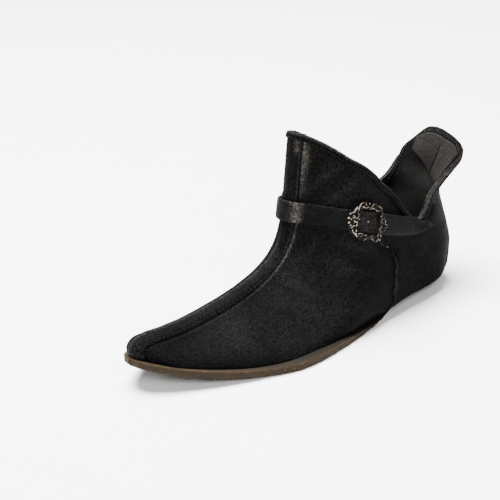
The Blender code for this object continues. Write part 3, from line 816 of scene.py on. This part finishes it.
# More columns than elsewhere go to the fold over the ridge
t_line = np.interp(np.linspace(0, 1, STRAP_COLUMNS + 1), [0, 0.24, 0.5, 1],
                   [-t_start, -0.1, 0.1, t_end])
low, high, x_line = strap_rows(t_line)
k = nth((u + 1) / 2, STRAP_COLUMNS)
tip = np.where(t_line > 0, np.clip((x_line - STRAP_TIP) / 13.0, 0, 1), 1)
half_line = (high - low) / 2 * (0.05 + 0.95 * tip**0.62)
across = 2 * v - 1
t = t_line[k]
b = (low + (high - low) * (0.5 + 0.08 * (1 - tip)))[k] + half_line[k] * across
x = x_line[k]
lift = strap_lift(t, b, x) + 2.0 - 0.45 * np.abs(across)**6
lift += np.where(t > 0, 0.5 * (1 - ease(88, 100, x)) + 2.4 * (1 - ease(43, 66, x))**1.5, 0)
lift += 1.1 * hump(x, 104, 7) * (t > 0)
place(strap, skin(t, b, lift))
# Painted highlights, partly rub: a pale line along the upper edge, fainter on the lower, and a
# highlight where the strap folds over the ridge.
fold_over = np.exp(-(strip_arc(t, b) - 9)**2 / 12) * (t > 0)
wear_and_highlight = np.where(across > 0, 0.3, 0.1) * hump(np.abs(across), 0.97, 0.05) + 0.75 * fold_over
# Painted light: the strap is painted paler inside the buckle's window, where it lies in shade; its tip
# is rubbed paler.
wear_and_highlight += (t > 0) * (0.12 * np.exp(-((x - 101) / 6)**4) + 0.22 * (1 - ease(44, 50, x)))
paint(strap, "wear_and_highlight", wear_and_highlight)
dress(strap, STRAP_LEATHER)
apply(strap, "SOLIDIFY", thickness=STRAP_THICK * MM, offset=-1.0)
apply(strap, "BEVEL", width=0.45 * MM, segments=2, limit_method="ANGLE", angle_limit=math.radians(45))
smooth(strap)
hand_over(strap, "black_leather", "strap")

# %% [markdown]
# The buckle is a cast frame: scrolls and beads round a square window, dark in its hollows.
# A caster models such scrolls as thin rolls of wax on a ring, so the strands here are thin tubes too.
# It is modelled flat in millimetres and then bent onto the strap like the CAD frame.

# %% Antique metal
def antique():
    look, tree, shader, where = start_look("antique bronze casting")
    broken = spread(tree, noise(tree, where, 1.4, 4.0), 0.35, 0.65, -0.3, 0.3)
    high = spread(tree, sums(tree, "ADD", mark(tree, "wear_and_highlight"), broken), 0.3, 1.1)
    feed(tree, shader, {"Base Color": blend(tree, high, linear("#0b0a08"), linear("#9a8f82")),
                        "Roughness": spread(tree, high, 0.0, 1.0, 0.6, 0.24), "Metallic": 0.9})
    bumped(tree, shader, noise(tree, where, 0.5, 4.0), 0.08, 0.5)
    return look


METAL = antique()
BUCKLE_X, BUCKLE_Z = 101.7, 73.0


def on_strap(along, across, height):
    """Point over the strap's outer face, in buckle coordinates along and across the strap."""
    e = 0.5
    t, b = locate(np.array([BUCKLE_X, BUCKLE_X + e, BUCKLE_X]),
                  np.array([BUCKLE_Z, BUCKLE_Z + e * 0.34, BUCKLE_Z + e]))
    mid, fore, up = face(t, b)
    fore = unit(fore - mid)
    up = unit(square_to(up - mid, fore))
    x = mid[0] + along * fore[0] + across * up[0]
    z = mid[2] + along * fore[2] + across * up[2]
    t, b = locate(x, z)
    return skin(t, b, strap_lift(t, b, x) + 2.3 + height)


# %% Strands, beads and the ring of the buckle
def tube(name, along, across, height, radius, closed=True):
    """A strand through points, with its own thickness at each."""
    line = bpy.data.curves.new(name, "CURVE")
    line.dimensions = "3D"
    line.bevel_depth = 1.0
    line.bevel_resolution = 2
    line.resolution_u = 1
    way = line.splines.new("POLY")
    way.points.add(len(along) - 1)
    for point, a, c, h, r in zip(way.points, along, across, height, radius):
        point.co = (a, c, h, 1.0)
        point.radius = r
    way.use_cyclic_u = closed
    line.use_fill_caps = not closed
    piece = bpy.data.objects.new(name, line)
    bpy.context.scene.collection.objects.link(piece)
    pick(piece)
    bpy.ops.object.convert(target="MESH")
    return bpy.context.object


def bead(along, across, height, size, long=1.0, turn=0.0):
    """A bead or a drop of the casting."""
    deselect()
    bpy.ops.mesh.primitive_uv_sphere_add(segments=12, ring_count=8, radius=1.0)
    piece = bpy.context.object
    ball = points_of(piece) * [size * long, size, size * 0.8]
    c, s = math.cos(turn), math.sin(turn)
    spun = np.stack([ball[:, 0] * c - ball[:, 1] * s, ball[:, 0] * s + ball[:, 1] * c, ball[:, 2]], -1)
    piece.data.vertices.foreach_set("co", (spun + [along, across, height]).ravel())
    return piece


def rounded(angle, long, high, power):
    """Radius of a rounded square at an angle."""
    return ((np.abs(np.cos(angle)) / long)**power + (np.abs(np.sin(angle)) / high)**power)**(-1 / power)


# Strands of the casting drawn one by one, in millimetres along the strap to the toe and up across it
STRANDS = [
    [(8.5, 7.2), (8.5, 8.7), (8.2, 10.2), (7.7, 11.4), (7, 12.2), (5.5, 11.9), (3.8, 10.6)],
    [(6.8, 9.6), (5.6, 9.3), (4.1, 8.8), (3.2, 9.1), (2.3, 9.9)],
    [(10.9, 5.6), (10.4, 6.8), (10.1, 7.9), (9.6, 9.1)],
    [(12.6, 4.1), (11.2, 4.9), (10.4, 5.9)],
    [(1.8, 8.1), (1, 9.1), (-0.1, 10.1), (-0.7, 11.4), (-1.7, 12), (-3.1, 11.3), (-4.6, 10.7),
     (-6.8, 10.1), (-8.5, 9), (-9.2, 7.4)],
    [(1.8, 8.1), (0.4, 8.8), (-1.6, 8.9), (-2.9, 8), (-4.4, 7.3), (-6.3, 7.7), (-8.3, 8.2)],
    [(-9.2, 7.4), (-9.2, 6.1), (-8.7, 4.5), (-8.5, 3.9)],
    [(-9.8, 2.9), (-8.9, 1.7), (-9.1, 0.5), (-10.1, -0.3)],
    [(-9.8, -2), (-8.7, -3.2), (-8.3, -4.5), (-8.9, -5.5), (-10.2, -5.8)],
    [(-10.4, -5.8), (-12, -5.2), (-13.6, -4.5)],
    [(-10.4, 4.9), (-11.7, 2.9), (-12.8, 1.7), (-11.8, -0.2), (-13.6, -0.8), (-14.7, -1.8), (-13.9, -3),
     (-12.1, -2.7)],
    [(-8.5, -6.8), (-7.9, -8.2), (-8.2, -10.1), (-7.7, -11.5), (-6.7, -12), (-5.5, -11.6),
     (-4.2, -10.6), (-3.3, -10.5)],
    [(-6.4, -9.7), (-4.9, -9.2), (-3.8, -9.1), (-2.6, -9.7), (-2.1, -10.7), (-1.7, -12.2)],
    [(-9.6, -7.3), (-10.3, -8.5), (-9.7, -9.4)],
    [(5.5, -8.6), (4.2, -8), (3, -8), (2, -8.8)],
    [(5.3, -9.7), (3.7, -9.9), (2.4, -9.5)],
    [(0.3, -9), (-0.7, -9.9), (-0.2, -11.2), (1.1, -11)],
    [(2, -11.1), (1.1, -12), (0.3, -12.6)],
    [(9.7, -4.8), (8.9, -5.7), (8.5, -7.2), (7.6, -8.1), (6.7, -8.6), (5.7, -10.2), (4.3, -11.2),
     (3, -11.8)],
    [(10.8, -3.9), (9.9, -2.6)],
    [(9.6, -4.8), (8.7, -3.3)],
    [(8, 5.1), (7.3, 3.4), (7.5, 2.1), (8.7, 1.3)],
    [(7.8, -0.8), (7, -1.7), (7.3, -3.1), (7.8, -3.8)],
    [(6.9, -4.9), (6.9, -6.2), (6.5, -7.5)],
    [(10.8, 3.2), (9.7, 2.6), (9.8, 1.4), (10.8, 2)],
    [(9.7, 0), (8.7, -0.9), (9, -1.9)]]
# Beads: along, across, size
BEADS = [
    (8.5, 7.2, 0.62), (10.1, 7.9, 0.62), (10.3, 5.9, 0.6), (12.6, 4.1, 0.75), (12.7, 1.1, 0.95),
    (11.1, 0.5, 0.6), (11.8, -1.7, 0.8), (-2.1, 8.9, 0.6), (-8.4, 4, 0.7), (-10.2, -5.8, 0.62),
    (0.3, -9, 0.8), (6.7, -8.6, 0.8), (9.7, -4.8, 0.6), (7.8, -0.8, 0.6), (-10.2, -10.6, 0.6),
    (2.5, 12, 0.6), (4.9, 12.4, 0.45), (6.7, 0.9, 0.5), (-11.3, 2.9, 0.5), (-12.8, 1, 0.5),
    (-11.4, -0.2, 0.45)]
RING = 220
ring_angle = np.arange(RING) / RING * 2 * np.pi
ring_cos, ring_sin = np.cos(ring_angle), np.sin(ring_angle)
window = rounded(ring_angle, 7.0, 7.0, 5.0)
outer = rounded(ring_angle, 12.4, 12.0, 2.5)
middle = window + (outer - window) * 0.55
# The dark ground ring under the strands
ground = tube("ground", middle * ring_cos, middle * ring_sin, np.zeros(RING), (outer - window) * 0.36)
flat = points_of(ground)
flat[:, 2] = 0.4 + flat[:, 2] * 0.2
ground.data.vertices.foreach_set("co", flat.ravel())
parts = [ground]
for number, line in enumerate(STRANDS):
    path = curve(line)(np.linspace(0, 1, 6 * len(line)))
    share = np.linspace(0, 1, len(path))
    rise = 1.2 + 0.25 * (number % 3) + 0.25 * np.sin(share * np.pi * 2 + number)
    thick = 0.32 + 0.2 * np.sin(np.pi * share)**0.5
    parts.append(tube("strand", path[:, 0], path[:, 1], rise, thick, False))
for along, across, size in BEADS:
    parts.append(bead(along, across, 1.5, 0.85 * size, 1.3, 0.4 * along))
buckle = join(parts, "buckle_scrolls")
flat = points_of(buckle)
rubbed = np.clip((facing_up(buckle) - 0.45) / 0.5, 0, 1)**1.5 * ease(0.9, 1.9, flat[:, 2])
place(buckle, on_strap(flat[:, 0], flat[:, 1], flat[:, 2]))
# The strands' rubbed tops are wear; painted light makes them brighter towards the toe side, where the
# light comes from.
paint(buckle, "wear_and_highlight", rubbed * (0.55 + 0.45 * ease(-4, 11, flat[:, 0])))
turn_out(buckle)
dress(buckle, METAL)
smooth(buckle, 60)
hand_over(buckle, "antique_metal", "buckle_frame")

# %% [markdown]
# The prong comes up through a hole in the strap; only its rounded tip shows in the window.
# It is rubbed bright each time the strap is drawn over it.
# One flattened bead on the strap's face is enough for it.

# %% Prong
prong = bead(0.0, 0.0, 1.1, 0.5, 1.2)
flat = points_of(prong)
place(prong, on_strap(flat[:, 0], flat[:, 1], flat[:, 2] * 0.9))
prong.name = prong.data.name = "prong_tip"
paint(prong, "wear_and_highlight", 0.6 * np.clip(flat[:, 2] / 1.6, 0, 1))
turn_out(prong)
dress(prong, METAL)
smooth(prong, 80)
hand_over(prong, "antique_metal", "buckle_prong")

# %% [markdown]
# The sole is one thick brown leather with a raw, burnished edge that shows round the forefoot.
# Behind the waist the upper is lapped over it, so the edge thins out and disappears under the quarter.
# The edge band is a sheet bent round the outline; two sheets close it above and below.

# %% Sole leather
def sole_leather():
    look, tree, shader, where = start_look("brown sole leather")
    cloud = spread(tree, noise(tree, where, 9, 6.0, 0.65), 0.3, 0.7)
    tone = blend(tree, cloud, linear("#0e0904"), linear("#1e1509"))
    stretch = add(tree, "Mapping", {"Vector": where, "Scale": (1.0, 1.0, 5.0)}).outputs["Vector"]
    fibre = noise(tree, stretch, 2.2, 6.0, 0.7)
    tone = blend(tree, spread(tree, fibre, 0.45, 0.7), tone, linear("#291d0d"))
    frayed = spread(tree, noise(tree, where, 2.0, 4.0), 0.25, 0.55)
    pale = sums(tree, "MULTIPLY", mark(tree, "pale"), frayed)
    # Darker where the edge faces up, on its top ledge.
    darker_on_top = spread(tree, mark(tree, "up"), 0.2, 0.9, 0.0, 0.75)
    tone = blend(tree, darker_on_top, blend(tree, pale, tone, linear("#75603f")), linear("#080502"))
    rough = spread(tree, fibre, 0.3, 0.7, 0.6, 0.9)
    feed(tree, shader, {"Base Color": tone, "Roughness": rough, "Specular IOR Level": 0.12})
    bumped(tree, shader, fibre, 0.5, 0.7)
    return look


SOLE = sole_leather()
SOLE_START = 9.3
edge_t = np.linspace(0.999, 0.001, 500)
LAP = {}
for side in (1, -1):
    rim = face(side * edge_t, 0.0)
    order = np.argsort(rim[:, 0])
    LAP[side] = (rim[order, 0], side * (rim[order, 1] - centre(rim[order, 0])))


def sole_half(x, side):
    """Half width of the sole: its outline in front, tucked under the upper behind."""
    bare = ease(55, 105, x)
    tucked = np.maximum(0, np.interp(x, LAP[side][0], LAP[side][1]) - WALL)
    return outline(x, side) * bare + tucked * (1 - bare)


def sole_height(x):
    return np.clip(feather(x) - spring(x) - 0.25, 0.3, SOLE_THICK - 0.2)


def sole_line(share):
    """Round the sole: outer side from heel to toe, then back along the inner side."""
    side = np.where(share < 0.5, 1, -1)
    run = np.where(share < 0.5, share * 2, 2 - share * 2)
    x = SOLE_START + (SOLE_LENGTH - SOLE_START) * slow_ends(run)
    y = np.where(side > 0, sole_half(x, 1), -sole_half(x, -1))
    return x, centre(x) + y


# Edge profile: how far in from the outline, height share
PROFILE = [(3.0, 0.0), (0.7, 0.0), (0.2, 0.08), (0.0, 0.25), (0.0, 0.45), (0.05, 0.65), (0.0, 0.82),
           (0.12, 0.93), (0.5, 1.0), (4.5, 1.0)]
band, u, v = sheet("sole_leather_edge", 420, len(PROFILE) - 1)
share = (u + 1) / 2
x, y = sole_line(share)
e = 0.001
along = unit(np.stack(sole_line((share + e) % 1), -1) - np.stack(sole_line((share - e) % 1), -1))
level = nth(v, len(PROFILE) - 1)
inset, rise = np.array(PROFILE).T[:, level]
rough = 0.22 * np.sin(share * 611 + 3 * v) * np.sin(share * 1373) + 0.16 * np.sin(share * 2311 + 7 * v)
inset = inset + rough * ((level > 1) & (level < 8))
x, y = x + along[:, 1] * inset, y - along[:, 0] * inset
z = spring(x) + sole_height(x) * rise
place(band, np.stack([x, y, z], -1))
paint(band, "pale", 0.16 * hump(level, 7, 0.8) * ease(95, 130, x))
covers = []
for name, inset, share in (("sole_under", 2.6, 0.0), ("sole_top", 4.1, 1.0)):
    cover, u, v = sheet(name, 120, 12)
    start = SOLE_START + 0.5
    x = start + (SOLE_LENGTH - start - inset) * slow_ends((u + 1) / 2)
    wide = np.maximum(0.05, sole_half(x, 1) - inset)
    tight = np.maximum(0.05, sole_half(x, -1) - inset)
    y = centre(x) - tight + (wide + tight) * v
    place(cover, np.stack([x, y, spring(x) + sole_height(x) * share], -1))
    covers.append(cover)
for piece in (band, covers[0]):
    turn_out(piece)
band = join([band] + covers, "sole_leather_edge")
dress(band, SOLE)
weld(band)
smooth(band, 60)
hand_over(band, "sole_leather", "outsole")
# A few loose fibres stand out of the cut edge at the ball of the foot
dice = np.random.default_rng(3)
bend = np.linspace(0, 1, 6)
hairs = []
for k in range(9):
    root_x, root_z = dice.uniform(180, 193), dice.uniform(0.8, 4.5)
    reach = dice.uniform((-2.0, 0.8, 0.4), (2.0, 2.0, 2.2))
    start = np.array([root_x, centre(root_x) + outline(root_x, 1) - 0.4, root_z])
    path = start + bend[:, None] * reach - np.array([0, 0, 0.9]) * bend[:, None]**2
    hair = tube("hair", *path.T, 0.13 * (1.1 - bend), False)
    place(hair, points_of(hair))
    hairs.append(hair)
fibres = join(hairs, "sole_fibres")
dress(fibres, SOLE)
paint(fibres, "pale", np.ones(len(fibres.data.vertices)))
paint(fibres, "up", np.zeros(len(fibres.data.vertices)))
smooth(fibres, 80)
hand_over(fibres, "sole_leather")

# %% [markdown]
# The insole is a thin leather sock glued to the sole inside; only a dark strip of it can be seen.
# It is a sheet with a slight cup, so that it looks trodden and not like a plate.
# It follows the toe's rise like the sole does.

# %% Insole
INSOLE_START, INSOLE_END = 8, 258
INSOLE_THICK = 2.0
insole, u, v = sheet("insole_leather", 110, 24)
x = INSOLE_START + (INSOLE_END - INSOLE_START) * slow_ends((u + 1) / 2)
level = spring(x) + SOLE_THICK + 2.8
inside = {}
for side in (1, -1):
    inside[side] = np.maximum(0.1, half_width(x, level, side) - WALL - 0.9)
y = centre(x) - inside[-1] + (inside[1] + inside[-1]) * v
cup = 0.9 * (2 * v - 1)**4 - 0.5 * hump(x, 40, 25) * (1 - (2 * v - 1)**2)
place(insole, np.stack([x, y, level + cup], -1))
paint(insole, "wear_and_highlight", 0.5 * hump(x, 45, 30) * np.exp(-3 * (2 * v - 1)**2))
dress(insole, LINING)
apply(insole, "SOLIDIFY", thickness=INSOLE_THICK * MM, offset=-1.0)
smooth(insole)
hand_over(insole, "lining_leather", "insole")

# %% [markdown]
# Inside the heel tab a grey suede patch saves the stocking from wear; the collar's binding frames it.
# Its lower edge hangs in an arc and a seam runs up its middle, as the tab is closed at the back.
# The patch is a sheet laid on the inner face, with the seam as relief in it.

# %% Tab lining
def collar_step(t):
    """Length in b of one millimetre square to the collar's edge, at each t."""
    e, fall = 0.004, 0.05
    along = unit(face(t + e, EDGE_B) - face(t - e, EDGE_B))
    down = square_to(face(t, EDGE_B) - face(t, EDGE_B - fall), along)
    return fall / np.linalg.norm(down, axis=-1)


BAND_DEPTH = 4.6
# The seam up the patch, how far it reaches to each side of it, as t, and its lowest b
SEAM_T, REACH, PATCH_LOW = 0.925, 0.195, 0.72
PATCH_COLUMNS = 96
suede, u, v = sheet("tab_suede", PATCH_COLUMNS, 40)
t_line = (SEAM_T - REACH * np.linspace(-1, 1, PATCH_COLUMNS + 1) + 1) % 2 - 1
signed = t_line[nth((u + 1) / 2, PATCH_COLUMNS)]
top = 1 - BAND_DEPTH * collar_step(signed)
low = np.where(u < 0, np.minimum(PATCH_LOW + 0.155 * np.abs(u)**1.35, top - 0.004),
               PATCH_LOW + (top - PATCH_LOW - 0.004) * np.abs(u)**2.4)
b = low + (top - low) * v
seam = np.maximum(hump(u, 0, 0.026) * (1 - ease(0.7, 0.9, v)),
                  0.3 * hump(v - 0.15 * np.abs(u), 0.6, 0.03))
rim = np.minimum(v, 1 - v) * (top - low) / collar_step(signed)
lift = -WALL - 0.4 - 0.7 * ease(0, 1.5, rim) + 0.9 * seam
place(suede, skin(signed, b, lift))
# Rub at the patch's edges, and a painted highlight as a pale line beside the seam.
paint(suede, "wear_and_highlight", 0.3 * (1 - ease(0.2, 2.0, rim)) + 0.4 * hump(u, 0.1, 0.05))
dress(suede, SUEDE)
smooth(suede, 80)
hand_over(suede, "lining_leather")

# %% [markdown]
# The collar is bound: a band of thin leather is folded over the raw edge and sewn through.
# It runs all round, over the strip in front and over the quarter behind, and rounds the tab's corners.
# The sheet's rows go up the outside, over the edge and down the inside.

# %% Collar binding
BAND, BAND_ROWS = 420, 26
# Depth of the round over the edge, and millimetres over which the band evens out corners
BAND_ROUND, SOFT = 1.1, 3.2
loop_t = np.linspace(-1, 1, 2401)[:-1]
loop = face(loop_t, EDGE_B)
run = run_of(np.vstack([loop, loop[:1]]))
band_t = np.interp(np.arange(BAND) / BAND * run[-1], run, np.r_[loop_t, 1.0])


def soften(values, width):
    """Evens a closed row of values out over a few millimetres."""
    pitch = run[-1] / BAND
    reach = np.arange(-12, 13)
    weight = hump(reach * pitch, 0, width)
    return sum(w * np.roll(values, k, 0) for w, k in zip(weight / weight.sum(), reach))


band_edge = soften(face(band_t, EDGE_B), SOFT)
band_low = soften(face(band_t, 1 - 5 * collar_step(band_t)), SOFT)
band_way = unit(np.roll(band_edge, -1, 0) - np.roll(band_edge, 1, 0))
band_up = unit(square_to(band_edge - band_low, band_way))
band_out = soften(normal_at(band_t, 1 - 2.5 * collar_step(band_t)), SOFT)
band_out = unit(square_to(band_out, band_up))
over_strip = 1 - ease(8.5, 10.5, strip_arc(band_t, 0.99))
over_quarter = ease(0.48, 0.56, np.abs(band_t))
band_height = soften(0.85 + 1.25 * over_strip + 0.75 * over_quarter, 1.5)


def band_section(turn):
    """Place across the band: 0 at its outer hem, 0.4 to 0.6 over the edge, 1 at its inner hem."""
    inner = -WALL - 0.45
    mid, half = (band_height + inner) / 2, (band_height - inner) / 2
    over = np.clip((turn - 0.4) / 0.2, 0, 1) * np.pi
    from_hem = np.minimum(turn, 1 - turn)
    below = BAND_ROUND + (BAND_DEPTH - BAND_ROUND) * (0.4 - from_hem) / 0.4
    depth = np.where(from_hem < 0.4, below, BAND_ROUND - 1.5 * np.sin(over))
    hem = hump(from_hem, 0, 0.03)
    puff = 0.2 * np.sin(np.pi * np.clip(from_hem / 0.4, 0, 1))
    lift = mid + np.cos(over) * (half + puff - 0.7 * hem)
    free = band_edge + band_out * lift[:, None] - band_up * depth[:, None]
    held = soften(skin(band_t, 1 - np.maximum(depth, 0.3) * collar_step(band_t), lift), 1.8)
    hold = ease(1.0, 2.6, depth)[:, None]
    return free * (1 - hold) + held * hold


binding, u, v = sheet("collar_binding", BAND, BAND_ROWS)
turns = np.linspace(0, 1, BAND_ROWS + 1)
grid = np.stack([band_section(np.full(BAND, turn)) for turn in turns])
column = nth((u + 1) / 2, BAND) % BAND
place(binding, grid[nth(v, BAND_ROWS), column])
# Painted highlight, with rub: a pale line along the top of the fold, stronger in front.
paint(binding, "wear_and_highlight", np.where(np.abs(band_t[column]) < 0.4, 0.4, 0.2) * hump(v, 0.46, 0.06))
weld(binding)
dress(binding, BLACK)
smooth(binding, 80)
hand_over(binding, "black_leather")

# %% [markdown]
# Stitches. The binding, the strip and the tab are sewn with waxed thread.
# One stitch is modelled as a small drop of thread and copied along each line at its real pitch.
# Each copy dips at its ends, where the thread goes into the leather.

# %% Thread and stitch lines
def thread(name, tone, shine, rough):
    look, tree, shader, where = start_look(name)
    twist = noise(tree, where, 2.2, 3.0)
    mixed = blend(tree, spread(tree, twist, 0.5, 0.72), linear(tone), linear(shine))
    feed(tree, shader, {"Base Color": mixed, "Roughness": rough, "Specular IOR Level": 0.15})
    bumped(tree, shader, twist, 0.1, 0.6)
    return look


# Black waxed thread, and the same thread catching the light on the tab
BLACK_THREAD = thread("black waxed thread", "#020202", "#080808", 0.8)
TAB_THREAD = thread("waxed thread on the tab", "#060606", "#3f3b35", 0.5)


# Pitch, length and width of the stitches
HEM_STITCH, TAB_STITCH, STRIP_STITCH = (2.8, 2.0, 0.5), (2.5, 1.5, 0.55), (3.1, 1.9, 0.5)


def sew(name, line, out, stitch, look):
    """A row of stitches along a line of points."""
    pitch, length, width = stitch
    run = run_of(line)

    def at_run(values, spot):
        return np.array([np.interp(spot, run, values[:, k]) for k in range(3)])

    deselect()
    bpy.ops.mesh.primitive_uv_sphere_add(segments=8, ring_count=5, radius=1.0)
    model = bpy.context.object
    model.name = model.data.name = name
    ball = points_of(model) * [length / 2, width / 2, width / 2]
    places = np.arange(pitch, run[-1] - pitch / 2, pitch)
    copies = []
    for spot in places:
        at = at_run(line, spot)
        fore = unit(at_run(line, spot + 0.4) - at)
        side = np.cross(at_run(out, spot), fore)
        copy = model.copy()
        copy.data = model.data.copy()
        bpy.context.scene.collection.objects.link(copy)
        place(copy, at + ball @ np.stack([fore, side, np.cross(fore, side)]))
        copies.append(copy)
    bpy.data.objects.remove(model, do_unlink=True)
    piece = join(copies, name)
    dress(piece, look)
    smooth(piece, 80)
    hand_over(piece, "black_leather")


hem_outer = band_section(np.full(BAND, 0.1))
hem_inner = band_section(np.full(BAND, 0.86))
front_half = np.abs(band_t) < 0.62
sew("collar_stitches", hem_outer[front_half], band_out[front_half], HEM_STITCH, BLACK_THREAD)
order = np.argsort((band_t + 2) % 2)
tab_half = order[np.abs((band_t[order] + 2) % 2 - 1) < 0.36]
sew("tab_stitches", hem_inner[tab_half], -band_out[tab_half], TAB_STITCH, TAB_THREAD)
sew("tab_stitches_outer", hem_outer[tab_half], band_out[tab_half], HEM_STITCH, BLACK_THREAD)
strip_b = np.linspace(0.03, 0.97, 400)
strip_t = strip_columns(strip_b, np.array([6.9]))[:, 0]
for name, sign in (("strip_stitches_outer", 1), ("strip_stitches_inner", -1)):
    line = skin(sign * strip_t, strip_b, 0.9)
    sew(name, line, normal_at(sign * strip_t, strip_b), STRIP_STITCH, BLACK_THREAD)

# %% [markdown]
# The studio. The shoe stands on a pale floor under soft light from the upper left.
# The camera is a long lens at the photo's angle: 45 degrees round from the toe and 22 degrees up.
# The frame is shifted a little, because the shoe stands right of the middle of the picture.

# %% Floor, light and camera
def floor_look():
    look, tree, shader, where = start_look("pale studio paper")
    tone = blend(tree, noise(tree, where, 60, 3.0), linear("#f4f4f3"), linear("#fafafa"))
    feed(tree, shader, {"Base Color": tone, "Roughness": 0.9})
    return look


deselect()
bpy.ops.mesh.primitive_plane_add(size=12)
floor = bpy.context.object
floor.name = "studio_floor"
dress(floor, floor_look())

world = bpy.data.worlds.new("studio")
bpy.context.scene.world = world
world.use_nodes = True
feed(world.node_tree, world.node_tree.nodes["Background"], {"Color": (1, 1, 1, 1), "Strength": 0.3})

AIM = (np.array([135.0, 0.0, 50.0]) - SHIFT) * MM
AZIMUTH, ELEVATION = math.radians(45), math.radians(22)
TO_CAMERA = np.array([math.sin(AZIMUTH) * math.cos(ELEVATION), math.cos(AZIMUTH) * math.cos(ELEVATION),
                      math.sin(ELEVATION)])
RIGHT = np.array([-math.cos(AZIMUTH), math.sin(AZIMUTH), 0.0])
UP = np.cross(TO_CAMERA, RIGHT)


def soft_light(name, right, up, near, size, power):
    """An area light placed as seen from the camera, aimed at the shoe."""
    deselect()
    spot = AIM + RIGHT * right + UP * up + TO_CAMERA * near
    bpy.ops.object.light_add(type="AREA", location=spot)
    lamp = bpy.context.object
    lamp.name = name
    lamp.data.shape = "DISK"
    lamp.data.size = size
    lamp.data.energy = power
    lamp.rotation_euler = Vector(AIM - spot).to_track_quat("-Z", "Y").to_euler()


soft_light("key", -0.35, 1.85, 0.5, 1.5, 360)
soft_light("side", -1.3, 0.5, 0.2, 0.8, 5)
soft_light("fill", 0.25, 0.35, 1.7, 0.6, 26)

ROLL = math.radians(1.0)
bpy.ops.object.camera_add(location=AIM + TO_CAMERA)
camera = bpy.context.object
camera.name = "photo_camera"
turned_right = RIGHT * math.cos(ROLL) - UP * math.sin(ROLL)
turned_up = UP * math.cos(ROLL) + RIGHT * math.sin(ROLL)
camera.rotation_euler = Matrix(np.stack([turned_right, turned_up, TO_CAMERA], 1).tolist()).to_euler()
camera.data.sensor_width = 36.0
camera.data.lens = 110.63
camera.data.shift_x = -0.0863
camera.data.shift_y = 0.0116
camera.data.clip_start = 0.05
bpy.context.scene.camera = camera
